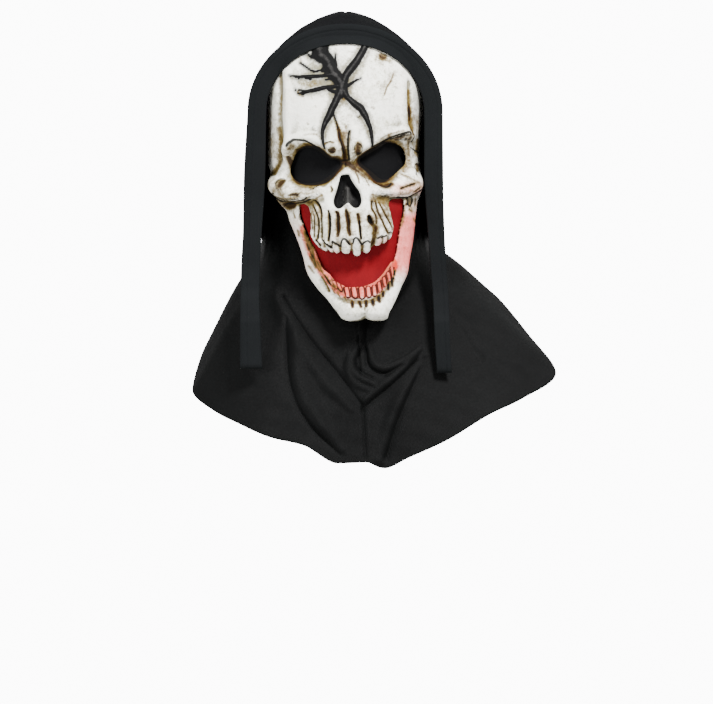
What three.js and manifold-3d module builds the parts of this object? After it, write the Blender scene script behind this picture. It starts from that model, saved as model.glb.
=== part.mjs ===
// A skull face mask sewn to a black hood and cowl, in the form that it has when it is worn.
// Millimetres, +Z up, the face looks along -Y, left and right are the viewer's.
// The origin is the inside of the hood at the crown, where the wearer's head holds it up.

import * as THREE from 'three';
import { mergeVertices } from 'three/addons/utils/BufferGeometryUtils.js';
import Module from 'manifold-3d';

const wasm = await Module();
wasm.setup();

const DEGREES = Math.PI / 180;

// Driving sizes.
const MASK = { halfWidth: 84, height: 307, depth: 78, wall: 2, chin: -332, back: -34 };
const CLEARANCE = 0.3;
const SOCKET_DEPTH = 10;
const HOOD_WALL = 1.5;
const COWL_WALL = 1.5;
const BAND_WALL = 3;
const MESH_WALL = 1.2;

// The front drawing is in perspective: x counts from the mask's middle and z from the eye level of
// the one who looks, in steps that measure DRAWING.step on the plane of the mask's front.
const DRAWING = { eyeX: 12, eyeY: -2912, eyeZ: -365, middle: 11.5, plane: -112, step: 1.04 };

// Sections of the mask from the chin up. up is a share of its height; left and right are shares of
// its half width; front and rim are shares of its depth ahead of the back; square is the power of
// the superellipse that rounds the section.
const MASK_SECTIONS = [
  { up: 0.000, left: -0.06, right: 0.46, front: 0.67, rim: 0.59, square: 2.4 },
  { up: 0.008, left: 0.03, right: 0.53, front: 0.82, rim: 0.57, square: 2.4 },
  { up: 0.030, left: 0.10, right: 0.55, front: 0.92, rim: 0.54, square: 2.4 },
  { up: 0.071, left: 0.21, right: 0.63, front: 0.90, rim: 0.49, square: 2.3 },
  { up: 0.113, left: 0.35, right: 0.70, front: 0.86, rim: 0.41, square: 2.2 },
  { up: 0.168, left: 0.48, right: 0.79, front: 0.86, rim: 0.33, square: 2.0 },
  { up: 0.221, left: 0.53, right: 0.82, front: 0.90, rim: 0.28, square: 2.0 },
  { up: 0.263, left: 0.58, right: 0.85, front: 0.94, rim: 0.23, square: 2.0 },
  { up: 0.305, left: 0.64, right: 0.87, front: 0.96, rim: 0.19, square: 2.1 },
  { up: 0.343, left: 0.70, right: 0.88, front: 0.97, rim: 0.15, square: 2.2 },
  { up: 0.378, left: 0.74, right: 0.90, front: 0.97, rim: 0.12, square: 2.3 },
  { up: 0.410, left: 0.84, right: 0.92, front: 0.97, rim: 0.08, square: 2.3 },
  { up: 0.435, left: 0.90, right: 0.95, front: 0.97, rim: 0.05, square: 2.3 },
  { up: 0.463, left: 0.97, right: 0.98, front: 0.97, rim: 0.03, square: 2.3 },
  { up: 0.505, left: 0.95, right: 0.96, front: 0.95, rim: 0.01, square: 2.3 },
  { up: 0.544, left: 0.98, right: 0.95, front: 0.95, rim: 0.00, square: 2.3 },
  { up: 0.596, left: 0.99, right: 0.94, front: 1.00, rim: 0.00, square: 2.4 },
  { up: 0.666, left: 0.99, right: 0.96, front: 1.00, rim: 0.00, square: 2.4 },
  { up: 0.769, left: 0.99, right: 0.99, front: 0.96, rim: 0.03, square: 2.4 },
  { up: 0.855, left: 0.94, right: 0.95, front: 0.88, rim: 0.08, square: 2.4 },
  { up: 0.913, left: 0.83, right: 0.83, front: 0.77, rim: 0.13, square: 2.4 },
  { up: 0.963, left: 0.66, right: 0.66, front: 0.61, rim: 0.18, square: 2.4 },
  { up: 1.000, left: 0.50, right: 0.49, front: 0.44, rim: 0.21, square: 2.4 },
];
// Rows and columns of the mask's facets: rows are closer together from the chin to the brows.
const MASK_ROWS = { chinToBrows: 28, browsToTop: 8, brows: 0.62 };
const MASK_COLUMNS = { count: 38, evenness: 0.74 };

// Outlines of the openings on the front drawing, as [x, z] round the edge.
const EYE_HOLES = {
  left: [[-46, 202], [-39, 204], [-32, 203], [-26, 201], [-20, 196], [-9, 192], [-5, 189],
    [-11, 178], [-17, 174], [-25, 170], [-33, 169], [-41, 168], [-48, 169], [-53, 173],
    [-56, 179], [-54, 187], [-49, 195]],
  right: [[14, 193], [20, 198], [28, 202], [34, 206], [40, 209], [46, 209], [52, 207],
    [57, 204], [60, 198], [62, 192], [61, 187], [57, 181], [46, 173], [40, 172], [31, 176],
    [25, 181], [15, 190]],
};
// The mouth opens between the jaw's inner edge, drawn from the top left down and round to the
// top right, and the upper jaw's edge, drawn back from right to left along the teeth.
const JAW_INNER_EDGE = [[-45, 148], [-46, 139], [-44, 131], [-41, 123], [-36, 113], [-32, 103],
  [-27, 93], [-19, 80], [-7, 70], [-1, 67], [9, 65], [19, 66], [27, 69], [39, 80], [48, 90],
  [53, 103], [56, 124], [58, 142], [59, 149]];
const UPPER_JAW_EDGE = [[58, 153], [47, 153], [44, 148], [47, 134], [48, 124], [47, 116],
  [44, 112], [39, 108], [33, 106], [27, 105], [24, 101], [19, 99], [16, 98.5], [12, 96], [9, 98.5],
  [3, 98], [-2, 99], [-7, 98.5], [-15, 100], [-21, 101], [-27, 105], [-31, 109], [-33, 115],
  [-34, 121], [-33, 132], [-34, 144], [-37, 146]];
const NOSE = [[-4, 177], [2, 177], [7, 170], [11, 164], [15, 158], [17, 152], [16, 147],
  [12, 143], [7, 145], [4, 149], [-1, 147], [-6, 143], [-11, 148], [-12, 154], [-10, 160],
  [-7, 168]];

// Ridges (height > 0) and grooves (height < 0) of the bone: lines on the front drawing. reach is
// how far the line's swelling spreads to each side, in steps.
const BONE_LINES = [
  { name: 'brow_left', height: 5, reach: 6,
    path: [[-57, 207], [-45, 211], [-35, 209], [-22, 199], [-6, 192]] },
  { name: 'brow_right', height: 5, reach: 6, path: [[8, 193], [27, 205], [42, 212], [54, 218], [63, 217]] },
  { name: 'cheekbone_left', height: 6, reach: 7, path: [[-74, 168], [-61, 159], [-45, 156], [-31, 158]] },
  { name: 'cheekbone_right', height: 6, reach: 7, path: [[75, 172], [66, 162], [52, 158], [33, 160]] },
  { name: 'cheek_ledge_left', height: -2.5, reach: 4, path: [[-66, 148], [-52, 145], [-38, 149]] },
  { name: 'cheek_ledge_right', height: -2.5, reach: 4, path: [[68, 150], [62, 148]] },
  { name: 'temple_left', height: -3, reach: 5, path: [[-66, 277], [-64, 233], [-64, 202], [-71, 177]] },
  { name: 'temple_right', height: -3, reach: 5, path: [[63, 260], [63, 235], [67, 222], [73, 201]] },
  { name: 'frown_left', height: -2, reach: 3, path: [[-13, 206], [-6, 218], [-4, 196]] },
  { name: 'frown_right', height: -2, reach: 3, path: [[5, 221], [3, 204], [14, 205]] },
  { name: 'crack_trunk', height: 2.5, reach: 3.5, path: [[-29, 299], [-12, 288], [-3, 267], [1, 258]] },
  { name: 'crack_up', height: 2, reach: 3, path: [[-1, 270], [7, 284], [16, 298]] },
  { name: 'crack_down_left', height: 2, reach: 3, path: [[-4, 258], [-11, 247], [-19, 231], [-22, 205]] },
  { name: 'crack_down_right', height: 2, reach: 3, path: [[1, 259], [15, 247], [21, 238], [26, 206]] },
  { name: 'crack_side_high', height: 1.5, reach: 2.5, path: [[-13, 275], [-31, 275], [-54, 276]] },
  { name: 'crack_side_low', height: 1.5, reach: 2.5, path: [[-12, 263], [-38, 260], [-49, 262]] },
  { name: 'upper_gum', height: 2, reach: 6,
    path: [[-30, 113], [-15, 105], [12, 103], [30, 110], [43, 119]] },
  { name: 'lower_teeth', height: 3, reach: 5,
    path: [[-29, 85], [-16, 70], [1, 61], [16, 58], [33, 63], [49, 82]] },
  { name: 'lower_gum', height: -2, reach: 4, path: [[-22, 66], [-6, 53], [14, 48], [34, 53], [48, 67]] },
  { name: 'jaw_edge_left', height: 2.5, reach: 5, path: [[-53, 132], [-42, 100], [-33, 72], [-14, 48]] },
  { name: 'jaw_edge_right', height: 2.5, reach: 5, path: [[67, 130], [62, 95], [55, 64], [46, 45]] },
  { name: 'chin_dimple', height: -2.5, reach: 4, path: [[21, 33], [20, 40]] },
];
// Rounded swellings and hollows of the bone: their middle, half sizes and height.
const BONE_PADS = [
  { name: 'upper_jaw', x: 6, z: 128, halfX: 38, halfZ: 26, height: 8 },
  { name: 'nose_root', x: 2, z: 188, halfX: 10, halfZ: 10, height: -7 },
  { name: 'frown_lobe_left', x: -9, z: 212, halfX: 6, halfZ: 8, height: 2.5 },
  { name: 'frown_lobe_right', x: 9, z: 212, halfX: 6, halfZ: 8, height: 2.5 },
  { name: 'chin_left', x: 6, z: 40, halfX: 10, halfZ: 8, height: 3 },
  { name: 'chin_right', x: 33, z: 42, halfX: 10, halfZ: 9, height: 3 },
];
// Teeth: middle of each crown on the front drawing, and half its width.
const TEETH = [
  { x: -28, z: 111, half: 3.5 }, { x: -22, z: 107, half: 3.5 }, { x: -15, z: 104, half: 3.8 },
  { x: -8, z: 103, half: 3.8 }, { x: 2, z: 103, half: 5 }, { x: 12, z: 102, half: 5 },
  { x: 21, z: 104, half: 4.2 }, { x: 33, z: 111, half: 4 }, { x: 39, z: 114, half: 3.2 },
  { x: 2, z: 61, half: 3.2 }, { x: 9, z: 59, half: 3.2 }, { x: 16, z: 59, half: 3.2 },
  { x: 22, z: 60, half: 3.2 }, { x: 28, z: 61, half: 3.2 }, { x: 33, z: 66, half: 3.2 },
];
const TOOTH_HEIGHT = 1.8;
const NOSE_EDGE = 4;
const SOCKET_REACH = 8;
const RIM_FADE = 0.45;
// Depths between which the openings are cut.
const CUT = { near: -150, far: -20 };
// The normal is taken no closer to the rim than these, where the form has an edge.
const NORMAL_LIMITS = { turn: 87, low: 0.02, high: 0.985 };

// The mouth cloth: its edges as shares of the mask's height and half width, how far behind the
// mask's wall it lies at its edge and in its middle, and its facets.
// dip is where, between its middle and its side, the top edge rises.
const MOUTH_CLOTH = { bottom: 0.045, sideTop: 0.435, middleTop: 0.35, edgeGap: 2.05, middleGap: 9,
  turn: 56, rows: 10, columns: 12, dip: [0.35, 0.9] };
// hub is the share of the eye mesh's reach at its first ring.
const EYE_MESH = { margin: 5.5, rings: 2, hub: 0.06 };
// Steps in which a place of the drawing is followed back to the mask's form.
const SEARCH = { depth: 3, place: 8 };

// The face opening in the hood: half an ellipse over straight sides. The band lies between the
// face edge and the seam that joins it to the hood.
const ARCH = { z: -112, faceHalf: 83, faceRise: 70, seamHalf: 103, seamRise: 92.5 };
// The band below the arch, down to its free ends. y is its back face.
const BAND_LEFT = [
  { z: -383, face: -87, seam: -110.5, y: -74 },
  { z: -339, face: -89, seam: -110.5, y: -72 },
  { z: -307, face: -90.5, seam: -110.5, y: -69 },
  { z: -276, face: -90, seam: -110, y: -66 },
  { z: -237, face: -88, seam: -108, y: -67 },
  { z: -183, face: -84.5, seam: -107, y: -70 },
  { z: ARCH.z, face: -ARCH.faceHalf, seam: -ARCH.seamHalf, y: -73.5 },
];
const BAND_RIGHT = [
  { z: -387, face: 96.5, seam: 112, y: -80 },
  { z: -339, face: 93.5, seam: 110, y: -76 },
  { z: -307, face: 92.5, seam: 109, y: -71 },
  { z: -276, face: 90, seam: 107, y: -67 },
  { z: -237, face: 87, seam: 105, y: -67 },
  { z: -183, face: 83.5, seam: 103.5, y: -70 },
  { z: ARCH.z, face: ARCH.faceHalf, seam: ARCH.seamHalf, y: -73.5 },
];
const BAND_FACETS = { side: 9, arch: 18, across: 2 };
const BAND_OVER_MASK = 1.6;

// Arches of the hood from the face seam over the crown to the nape. The top of an arch is at topY,
// topZ and its two ends at endY, endZ; half is its half width, square the power that rounds its
// top, and straight the share of its height that is straight.
const HOOD_ARCHES = [
  { along: 0.00, topY: -79, topZ: -19.5, endY: -62, endZ: -284, half: 103, square: 2.0, straight: 0.62 },
  { along: 0.14, topY: -45, topZ: -4, endY: -50, endZ: -274, half: 101, square: 1.8, straight: 0.60 },
  { along: 0.27, topY: -10, topZ: 1.5, endY: -36, endZ: -264, half: 99, square: 1.7, straight: 0.58 },
  { along: 0.40, topY: 30, topZ: -6, endY: -22, endZ: -255, half: 98, square: 1.7, straight: 0.54 },
  { along: 0.53, topY: 65, topZ: -30, endY: -6, endZ: -246, half: 97, square: 1.8, straight: 0.48 },
  { along: 0.66, topY: 92, topZ: -70, endY: 10, endZ: -243, half: 96, square: 1.9, straight: 0.40 },
  { along: 0.78, topY: 106, topZ: -120, endY: 24, endZ: -241, half: 95, square: 2.0, straight: 0.30 },
  { along: 0.88, topY: 108, topZ: -170, endY: 36, endZ: -240, half: 93, square: 2.0, straight: 0.22 },
  { along: 1.00, topY: 95, topZ: -238, endY: 46, endZ: -240, half: 91, square: 2.1, straight: 0.12 },
];
// corner is the place along an arch, from 0 at its top to 1 at its end, where it becomes straight.
const HOOD_CORNER = 0.5;
const HOOD_FLARE = 2;
const HOOD_MIDDLE = new THREE.Vector3(0, 10, -120);
const HOOD_FACETS = { arches: 15, around: 24 };

// The cowl's upper edge behind the jaw follows the mask's rim up to the cheekbones and then goes
// round the nape inside the hood. turn is the angle round the neck from the front, to the right.
const RIM_EDGE = [
  { turn: 0, up: 0.035 }, { turn: 20, up: 0.10 }, { turn: 40, up: 0.20 },
  { turn: 60, up: 0.33 }, { turn: 75, up: 0.44 },
];
const RIM_EDGE_INSET = 0.85;
const RIM_EDGE_END = 75;
const CHIN_TURN = 22;
const NAPE_EDGE = [
  { turn: 75, x: 83, y: -33, z: -197 }, { turn: 95, x: 90, y: 5, z: -190 },
  { turn: 120, x: 76, y: 45, z: -192 }, { turn: 150, x: 43, y: 76, z: -198 },
  { turn: 180, x: 0, y: 84, z: -205 },
];
// The neck loop: the cowl is inside the hood above it and spreads over the shoulders below it.
const NECK = { half: 93, front: 78, back: 76, middleY: 5, chinShift: 14 };
const NECK_HEIGHTS = [
  { turn: 0, z: -345 }, { turn: 25, z: -328 }, { turn: 45, z: -302 }, { turn: 65, z: -280 },
  { turn: 85, z: -266 }, { turn: 110, z: -256 }, { turn: 140, z: -252 }, { turn: 180, z: -250 },
];
// The hem, by the angle round the neck: its two corners are in front of the shoulders.
const HEM = [
  { turn: -180, x: 0, y: 118, z: -330 },
  { turn: -154, x: -55, y: 105, z: -305 },
  { turn: -132, x: -85, y: 80, z: -290 },
  { turn: -112, x: -108, y: 40, z: -285 },
  { turn: -102, x: -120, y: 22, z: -310 },
  { turn: -84, x: -154, y: -5, z: -368 },
  { turn: -72, x: -163, y: -25, z: -406 },
  { turn: -62, x: -142, y: -50, z: -426 },
  { turn: -50, x: -114, y: -70, z: -440 },
  { turn: -36, x: -78, y: -85, z: -455 },
  { turn: -23, x: -44, y: -88, z: -463 },
  { turn: -12, x: -8, y: -88, z: -482 },
  { turn: 0, x: 22, y: -88, z: -481 },
  { turn: 8, x: 42, y: -88, z: -487 },
  { turn: 16, x: 67, y: -88, z: -476 },
  { turn: 28, x: 107, y: -82, z: -458 },
  { turn: 42, x: 153, y: -68, z: -431 },
  { turn: 54, x: 190, y: -45, z: -414 },
  { turn: 66, x: 226, y: -15, z: -388 },
  { turn: 78, x: 197, y: 5, z: -346 },
  { turn: 88, x: 160, y: 20, z: -302 },
  { turn: 106, x: 112, y: 42, z: -270 },
  { turn: 130, x: 90, y: 80, z: -275 },
  { turn: 152, x: 60, y: 105, z: -300 },
  { turn: 180, x: 0, y: 118, z: -330 },
];
const COWL_SPREAD = { middle: 0.46, lift: 9, chestDrop: -4 };
// A point far below the cowl, on the side of its lining.
const COWL_BELOW = new THREE.Vector3(15, 10, -700);
// frontShare is the columns' spacing in front, as a share of their mean spacing.
const COWL_FACETS = { columns: 56, rows: 11, frontShare: 0.6 };
// Depths ahead of the neck's middle between which the folds fade in.
const FOLDS_FROM = [15, 45];
// Folds of the cowl: lines on the front drawing, height out of the cloth and reach to each side.
const COWL_FOLDS = [
  { name: 'left_long', height: 7, reach: 8, path: [[-62, 70], [-40, 15], [-16, -38], [3, -88]] },
  { name: 'left_long_valley', height: -6, reach: 8, path: [[-70, 68], [-50, 10], [-26, -42], [-8, -92]] },
  { name: 'left_short', height: 7, reach: 9, path: [[-58, 20], [-54, -40], [-36, -80], [-20, -104]] },
  { name: 'front_seam', height: -3, reach: 6, path: [[21, 30], [24, -28], [18, -60], [21, -106]] },
  { name: 'swirl_left', height: 7, reach: 8, path: [[12, 4], [5, -12], [10, -26], [26, -32]] },
  { name: 'swirl_right', height: 7, reach: 8, path: [[22, 4], [28, -12], [42, -17], [58, -8], [72, 4]] },
  { name: 'right_sweep', height: 7, reach: 8, path: [[72, -4], [45, -28], [27, -42], [19, -54]] },
  { name: 'right_long', height: 7, reach: 9, path: [[77, -8], [66, -32], [56, -62], [42, -108]] },
  { name: 'right_long_valley', height: -6, reach: 8, path: [[68, -16], [55, -40], [44, -72], [32, -108]] },
  { name: 'shoulder_right', height: 7, reach: 8, path: [[106, 72], [119, 42], [133, 8], [139, -10]] },
];

const COLOURS = { bone: 0xe9e8dc, red: 0xb01a24, black_mesh: 0x141214, cloth: 0x1d1f20, band: 0x232627 };

// One column of a table at a place between its rows: a smooth curve that never overshoots them.
function between(rows, by, column, at) {
  const last = rows.length - 1;
  if (at <= rows[0][by]) return rows[0][column];
  if (at >= rows[last][by]) return rows[last][column];
  const i = rows.findIndex((row) => row[by] > at) - 1;
  const slope = (k) => (rows[k + 1][column] - rows[k][column]) / (rows[k + 1][by] - rows[k][by]);
  const tangent = (k) => {
    if (k === 0) return slope(0);
    if (k === last) return slope(last - 1);
    const product = slope(k - 1) * slope(k);
    return product <= 0 ? 0 : (2 * product) / (slope(k - 1) + slope(k));
  };
  const gap = rows[i + 1][by] - rows[i][by];
  const t = (at - rows[i][by]) / gap;
  const t2 = t * t;
  const t3 = t2 * t;
  return (2 * t3 - 3 * t2 + 1) * rows[i][column] + (t3 - 2 * t2 + t) * gap * tangent(i)
    + (3 * t2 - 2 * t3) * rows[i + 1][column] + (t3 - t2) * gap * tangent(i + 1);
}

const steps = (count) => Array.from({ length: count + 1 }, (_, i) => i / count);

// Scale of the front drawing at a depth.
const stepAt = (y) => (DRAWING.step * (y - DRAWING.eyeY)) / (DRAWING.plane - DRAWING.eyeY);

// Place of a point on the front drawing.
function drawn(point) {
  const step = stepAt(point.y);
  return [DRAWING.middle + (point.x - DRAWING.eyeX) / step, (point.z - DRAWING.eyeZ) / step];
}

// Point at a depth that stands at a place of the front drawing.
function undrawn([x, z], y) {
  const step = stepAt(y);
  return new THREE.Vector3(DRAWING.eyeX + (x - DRAWING.middle) * step, y, DRAWING.eyeZ + z * step);
}

// Distance on the drawing from a place to a line of points.
function distanceTo(path, [x, z]) {
  let nearest = Infinity;
  for (let i = 0; i + 1 < path.length; i += 1) {
    const [ax, az] = path[i];
    const dx = path[i + 1][0] - ax;
    const dz = path[i + 1][1] - az;
    const share = THREE.MathUtils.clamp(((x - ax) * dx + (z - az) * dz) / (dx * dx + dz * dz), 0, 1);
    nearest = Math.min(nearest, Math.hypot(x - ax - share * dx, z - az - share * dz));
  }
  return nearest;
}

const ringOf = (outline) => [...outline, outline[0]];

function inside(outline, [x, z]) {
  let odd = false;
  outline.forEach(([ax, az], i) => {
    const [bx, bz] = outline[(i + 1) % outline.length];
    if ((az > z) !== (bz > z) && x < ax + ((bx - ax) * (z - az)) / (bz - az)) odd = !odd;
  });
  return odd;
}

// Swelling of all lines of a table at a place of the drawing.
function swelling(lines, place) {
  return lines.reduce((sum, { height, reach, path }) => (
    sum + height * Math.exp(-((distanceTo(path, place) / reach) ** 2))), 0);
}

// Closed body between an outer and an inner grid of points; ring joins the last column to the first.
function wallBetween(outer, inner, ring = false) {
  const rows = outer.length;
  const columns = outer[0].length;
  const at = (layer, row, column) => (layer * rows + row) * columns + (column % columns);
  const faces = [];
  const quad = (a, b, c, d) => faces.push(a, b, c, a, c, d);
  const spans = ring ? columns : columns - 1;
  for (let c = 0; c < spans; c += 1) {
    for (let r = 0; r + 1 < rows; r += 1) {
      quad(at(0, r, c), at(0, r + 1, c), at(0, r + 1, c + 1), at(0, r, c + 1));
      quad(at(1, r, c), at(1, r, c + 1), at(1, r + 1, c + 1), at(1, r + 1, c));
    }
    quad(at(0, 0, c), at(0, 0, c + 1), at(1, 0, c + 1), at(1, 0, c));
    quad(at(0, rows - 1, c), at(1, rows - 1, c), at(1, rows - 1, c + 1), at(0, rows - 1, c + 1));
  }
  for (let r = 0; r + 1 < rows && !ring; r += 1) {
    quad(at(0, r, 0), at(1, r, 0), at(1, r + 1, 0), at(0, r + 1, 0));
    quad(at(0, r, spans), at(0, r + 1, spans), at(1, r + 1, spans), at(1, r, spans));
  }
  return facingOut([...outer.flat(), ...inner.flat()], faces);
}

// Geometry from points and triangles, turned so that the faces point out of the body.
function facingOut(points, faces) {
  let volume = 0;
  for (let i = 0; i < faces.length; i += 3) {
    const [a, b, c] = [points[faces[i]], points[faces[i + 1]], points[faces[i + 2]]];
    volume += a.dot(b.clone().cross(c));
  }
  const geometry = new THREE.BufferGeometry().setFromPoints(points);
  geometry.setIndex(volume > 0 ? faces : faces.toReversed());
  geometry.computeVertexNormals();
  return geometry;
}

// Body of all the points that are seen inside an outline of the drawing, between two depths.
function sightPrism(outline, nearY, farY) {
  const count = outline.length;
  const points = [nearY, farY].flatMap((y) => outline.map((place) => undrawn(place, y)));
  const flat = outline.map(([x, z]) => new THREE.Vector2(x, z));
  const lid = THREE.ShapeUtils.triangulateShape(flat, []);
  const clockwise = THREE.ShapeUtils.isClockWise(flat);
  const faces = lid.flatMap(([a, b, c]) => [a, b, c, count + a, count + c, count + b]);
  for (let i = 0; i < count; i += 1) {
    const j = (i + 1) % count;
    const side = [i, count + i, count + j, i, count + j, j];
    faces.push(...(clockwise ? side.toReversed() : side));
  }
  return facingOut(points, faces);
}

function solidOf(geometry) {
  const bare = new THREE.BufferGeometry();
  bare.setAttribute('position', geometry.getAttribute('position').clone());
  bare.setIndex(geometry.getIndex().clone());
  const merged = mergeVertices(bare);
  return new wasm.Manifold(new wasm.Mesh({
    numProp: 3,
    vertProperties: new Float32Array(merged.getAttribute('position').array),
    triVerts: new Uint32Array(merged.getIndex().array),
  }));
}

function geometryOf(solid) {
  const { vertProperties, triVerts } = solid.getMesh();
  const geometry = new THREE.BufferGeometry();
  geometry.setAttribute('position', new THREE.BufferAttribute(new Float32Array(vertProperties), 3));
  geometry.setIndex([...triVerts]);
  geometry.computeVertexNormals();
  return geometry;
}

// Grid of points from a surface function.
function gridOf(surface, us, vs) {
  return vs.map((v) => us.map((u) => surface(u, v)));
}

// The mask's smooth form before any bone: turn goes round it from -90 to 90 degrees, up is the
// share of its height.
function maskForm(turn, up) {
  const column = (name) => between(MASK_SECTIONS, 'up', name, up);
  const left = column('left') * MASK.halfWidth;
  const right = column('right') * MASK.halfWidth;
  const rim = MASK.back - column('rim') * MASK.depth;
  const front = MASK.back - column('front') * MASK.depth;
  const square = column('square');
  const side = Math.sin(turn * DEGREES);
  const bulge = Math.max(0, 1 - Math.abs(side) ** square) ** (1 / square);
  return new THREE.Vector3(
    (right - left) / 2 + ((right + left) / 2) * side,
    rim - (rim - front) * bulge,
    MASK.chin + up * MASK.height,
  );
}

function maskNormal(turn, up) {
  const near = THREE.MathUtils.clamp(turn, -NORMAL_LIMITS.turn, NORMAL_LIMITS.turn);
  const level = THREE.MathUtils.clamp(up, NORMAL_LIMITS.low, NORMAL_LIMITS.high);
  const across = maskForm(near + 1, level).sub(maskForm(near - 1, level));
  const rise = maskForm(near, level + 0.01).sub(maskForm(near, level - 0.01));
  return across.cross(rise).normalize();
}

// Height of the bone over the mask's smooth form, at a place of the front drawing.
function boneHeight(place) {
  let height = swelling(BONE_LINES, place);
  for (const pad of BONE_PADS) {
    const square = ((place[0] - pad.x) / pad.halfX) ** 2 + ((place[1] - pad.z) / pad.halfZ) ** 2;
    height += pad.height * Math.exp(-(square ** 2));
  }
  for (const tooth of TEETH) {
    const off = Math.hypot(place[0] - tooth.x, (place[1] - tooth.z) / 1.4) / tooth.half;
    height += TOOTH_HEIGHT * Math.exp(-(off ** 4));
  }
  for (const hole of Object.values(EYE_HOLES)) {
    const off = inside(hole, place) ? 0 : distanceTo(ringOf(hole), place);
    height -= SOCKET_DEPTH * Math.exp(-((off / SOCKET_REACH) ** 2));
  }
  const intoNose = distanceTo(ringOf(NOSE), place) * (inside(NOSE, place) ? 1 : -1);
  height -= SOCKET_DEPTH * THREE.MathUtils.smoothstep(intoNose, -NOSE_EDGE / 2, NOSE_EDGE / 2);
  return Math.max(height, -SOCKET_DEPTH);
}

// The mask's outside, and the same moved back through its wall by some depth.
function maskSurface(turn, up, depth = 0) {
  const form = maskForm(turn, up);
  const fade = THREE.MathUtils.smoothstep(Math.cos(turn * DEGREES), 0, RIM_FADE);
  const out = boneHeight(drawn(form)) * fade - depth;
  return form.addScaledVector(maskNormal(turn, up), out);
}

function maskShell() {
  const { chinToBrows, browsToTop, brows } = MASK_ROWS;
  const ups = [
    ...steps(chinToBrows).map((t) => t * brows),
    ...steps(browsToTop).slice(1).map((t) => brows + t * (1 - brows)),
  ];
  const turns = steps(MASK_COLUMNS.count - 1).map((t) => {
    const side = 2 * t - 1;
    return 90 * (MASK_COLUMNS.evenness * side + (1 - MASK_COLUMNS.evenness) * side ** 3);
  });
  const shell = wallBetween(
    gridOf((turn, up) => maskSurface(turn, up), turns, ups),
    gridOf((turn, up) => maskSurface(turn, up, MASK.wall), turns, ups),
  );
  let solid = solidOf(shell);
  for (const outline of [EYE_HOLES.left, EYE_HOLES.right, [...JAW_INNER_EDGE, ...UPPER_JAW_EDGE]]) {
    solid = solid.subtract(solidOf(sightPrism(outline, CUT.near, CUT.far)));
  }
  return geometryOf(solid);
}

// The red cloth behind the mouth, glued to the inside of the cheeks and the chin.
function mouthCloth() {
  const { bottom, sideTop, middleTop, edgeGap, middleGap, turn, rows, columns, dip } = MOUTH_CLOTH;
  const face = (behind) => (u, v) => {
    const side = 2 * u - 1;
    const rise = THREE.MathUtils.smoothstep(Math.abs(side), ...dip);
    const top = middleTop + (sideTop - middleTop) * rise;
    const up = bottom + v * (top - bottom);
    const slack = Math.sin(Math.PI * u) * Math.sin(Math.PI * v);
    const back = MASK.wall + edgeGap + (middleGap - edgeGap) * slack + behind;
    return maskForm(side * turn, up).addScaledVector(maskNormal(side * turn, up), -back);
  };
  return wallBetween(
    gridOf(face(0), steps(columns), steps(rows)),
    gridOf(face(MESH_WALL), steps(columns), steps(rows)),
  );
}

// Depth of the mask's smooth form at a place seen from the front.
function maskDepth(x, z) {
  const up = (z - MASK.chin) / MASK.height;
  const column = (name) => between(MASK_SECTIONS, 'up', name, up);
  const left = column('left') * MASK.halfWidth;
  const right = column('right') * MASK.halfWidth;
  const side = Math.min(1, Math.abs((2 * x - right + left) / (right + left)));
  const square = column('square');
  const bulge = (1 - side ** square) ** (1 / square);
  return MASK.back - (column('rim') + (column('front') - column('rim')) * bulge) * MASK.depth;
}

// Turn and height of the form's point that stands at a place of the drawing.
function formAt(place) {
  let point = undrawn(place, MASK.back - MASK.depth);
  for (let i = 0; i < SEARCH.depth; i += 1) point = undrawn(place, maskDepth(point.x, point.z));
  const up = (point.z - MASK.chin) / MASK.height;
  const left = between(MASK_SECTIONS, 'up', 'left', up) * MASK.halfWidth;
  const right = between(MASK_SECTIONS, 'up', 'right', up) * MASK.halfWidth;
  const side = THREE.MathUtils.clamp((2 * point.x - right + left) / (right + left), -1, 1);
  return [Math.asin(side) / DEGREES, up];
}

// Point at some depth behind the mask's form that is seen at a place of the drawing.
function behindForm(place, depth) {
  const spot = [...place];
  let point;
  for (let i = 0; i < SEARCH.place; i += 1) {
    const [turn, up] = formAt(spot);
    point = maskForm(turn, up).addScaledVector(maskNormal(turn, up), -depth);
    const seen = drawn(point);
    spot[0] += place[0] - seen[0];
    spot[1] += place[1] - seen[1];
  }
  return point;
}

// The black mesh behind an eye hole: the hole's outline grown by a margin, behind the socket.
function eyeMesh(hole) {
  const middle = hole.reduce(([x, z], [a, b]) => [x + a / hole.length, z + b / hole.length], [0, 0]);
  const face = (behind) => (u, v) => {
    const spot = (u % 1) * hole.length;
    const [a, b] = [hole[Math.floor(spot)], hole[(Math.floor(spot) + 1) % hole.length]];
    const edge = [0, 1].map((k) => THREE.MathUtils.lerp(a[k], b[k], spot % 1));
    const reach = Math.hypot(edge[0] - middle[0], edge[1] - middle[1]);
    const grown = ((reach + EYE_MESH.margin) / reach) * v;
    const place = [0, 1].map((k) => middle[k] + (edge[k] - middle[k]) * grown);
    return behindForm(place, SOCKET_DEPTH + MASK.wall + CLEARANCE + behind);
  };
  const around = steps(hole.length).slice(0, -1);
  const outward = steps(EYE_MESH.rings).map((t) => EYE_MESH.hub + (1 - EYE_MESH.hub) * t);
  return discOf(gridOf(face(0), around, outward), gridOf(face(MESH_WALL), around, outward));
}

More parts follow.
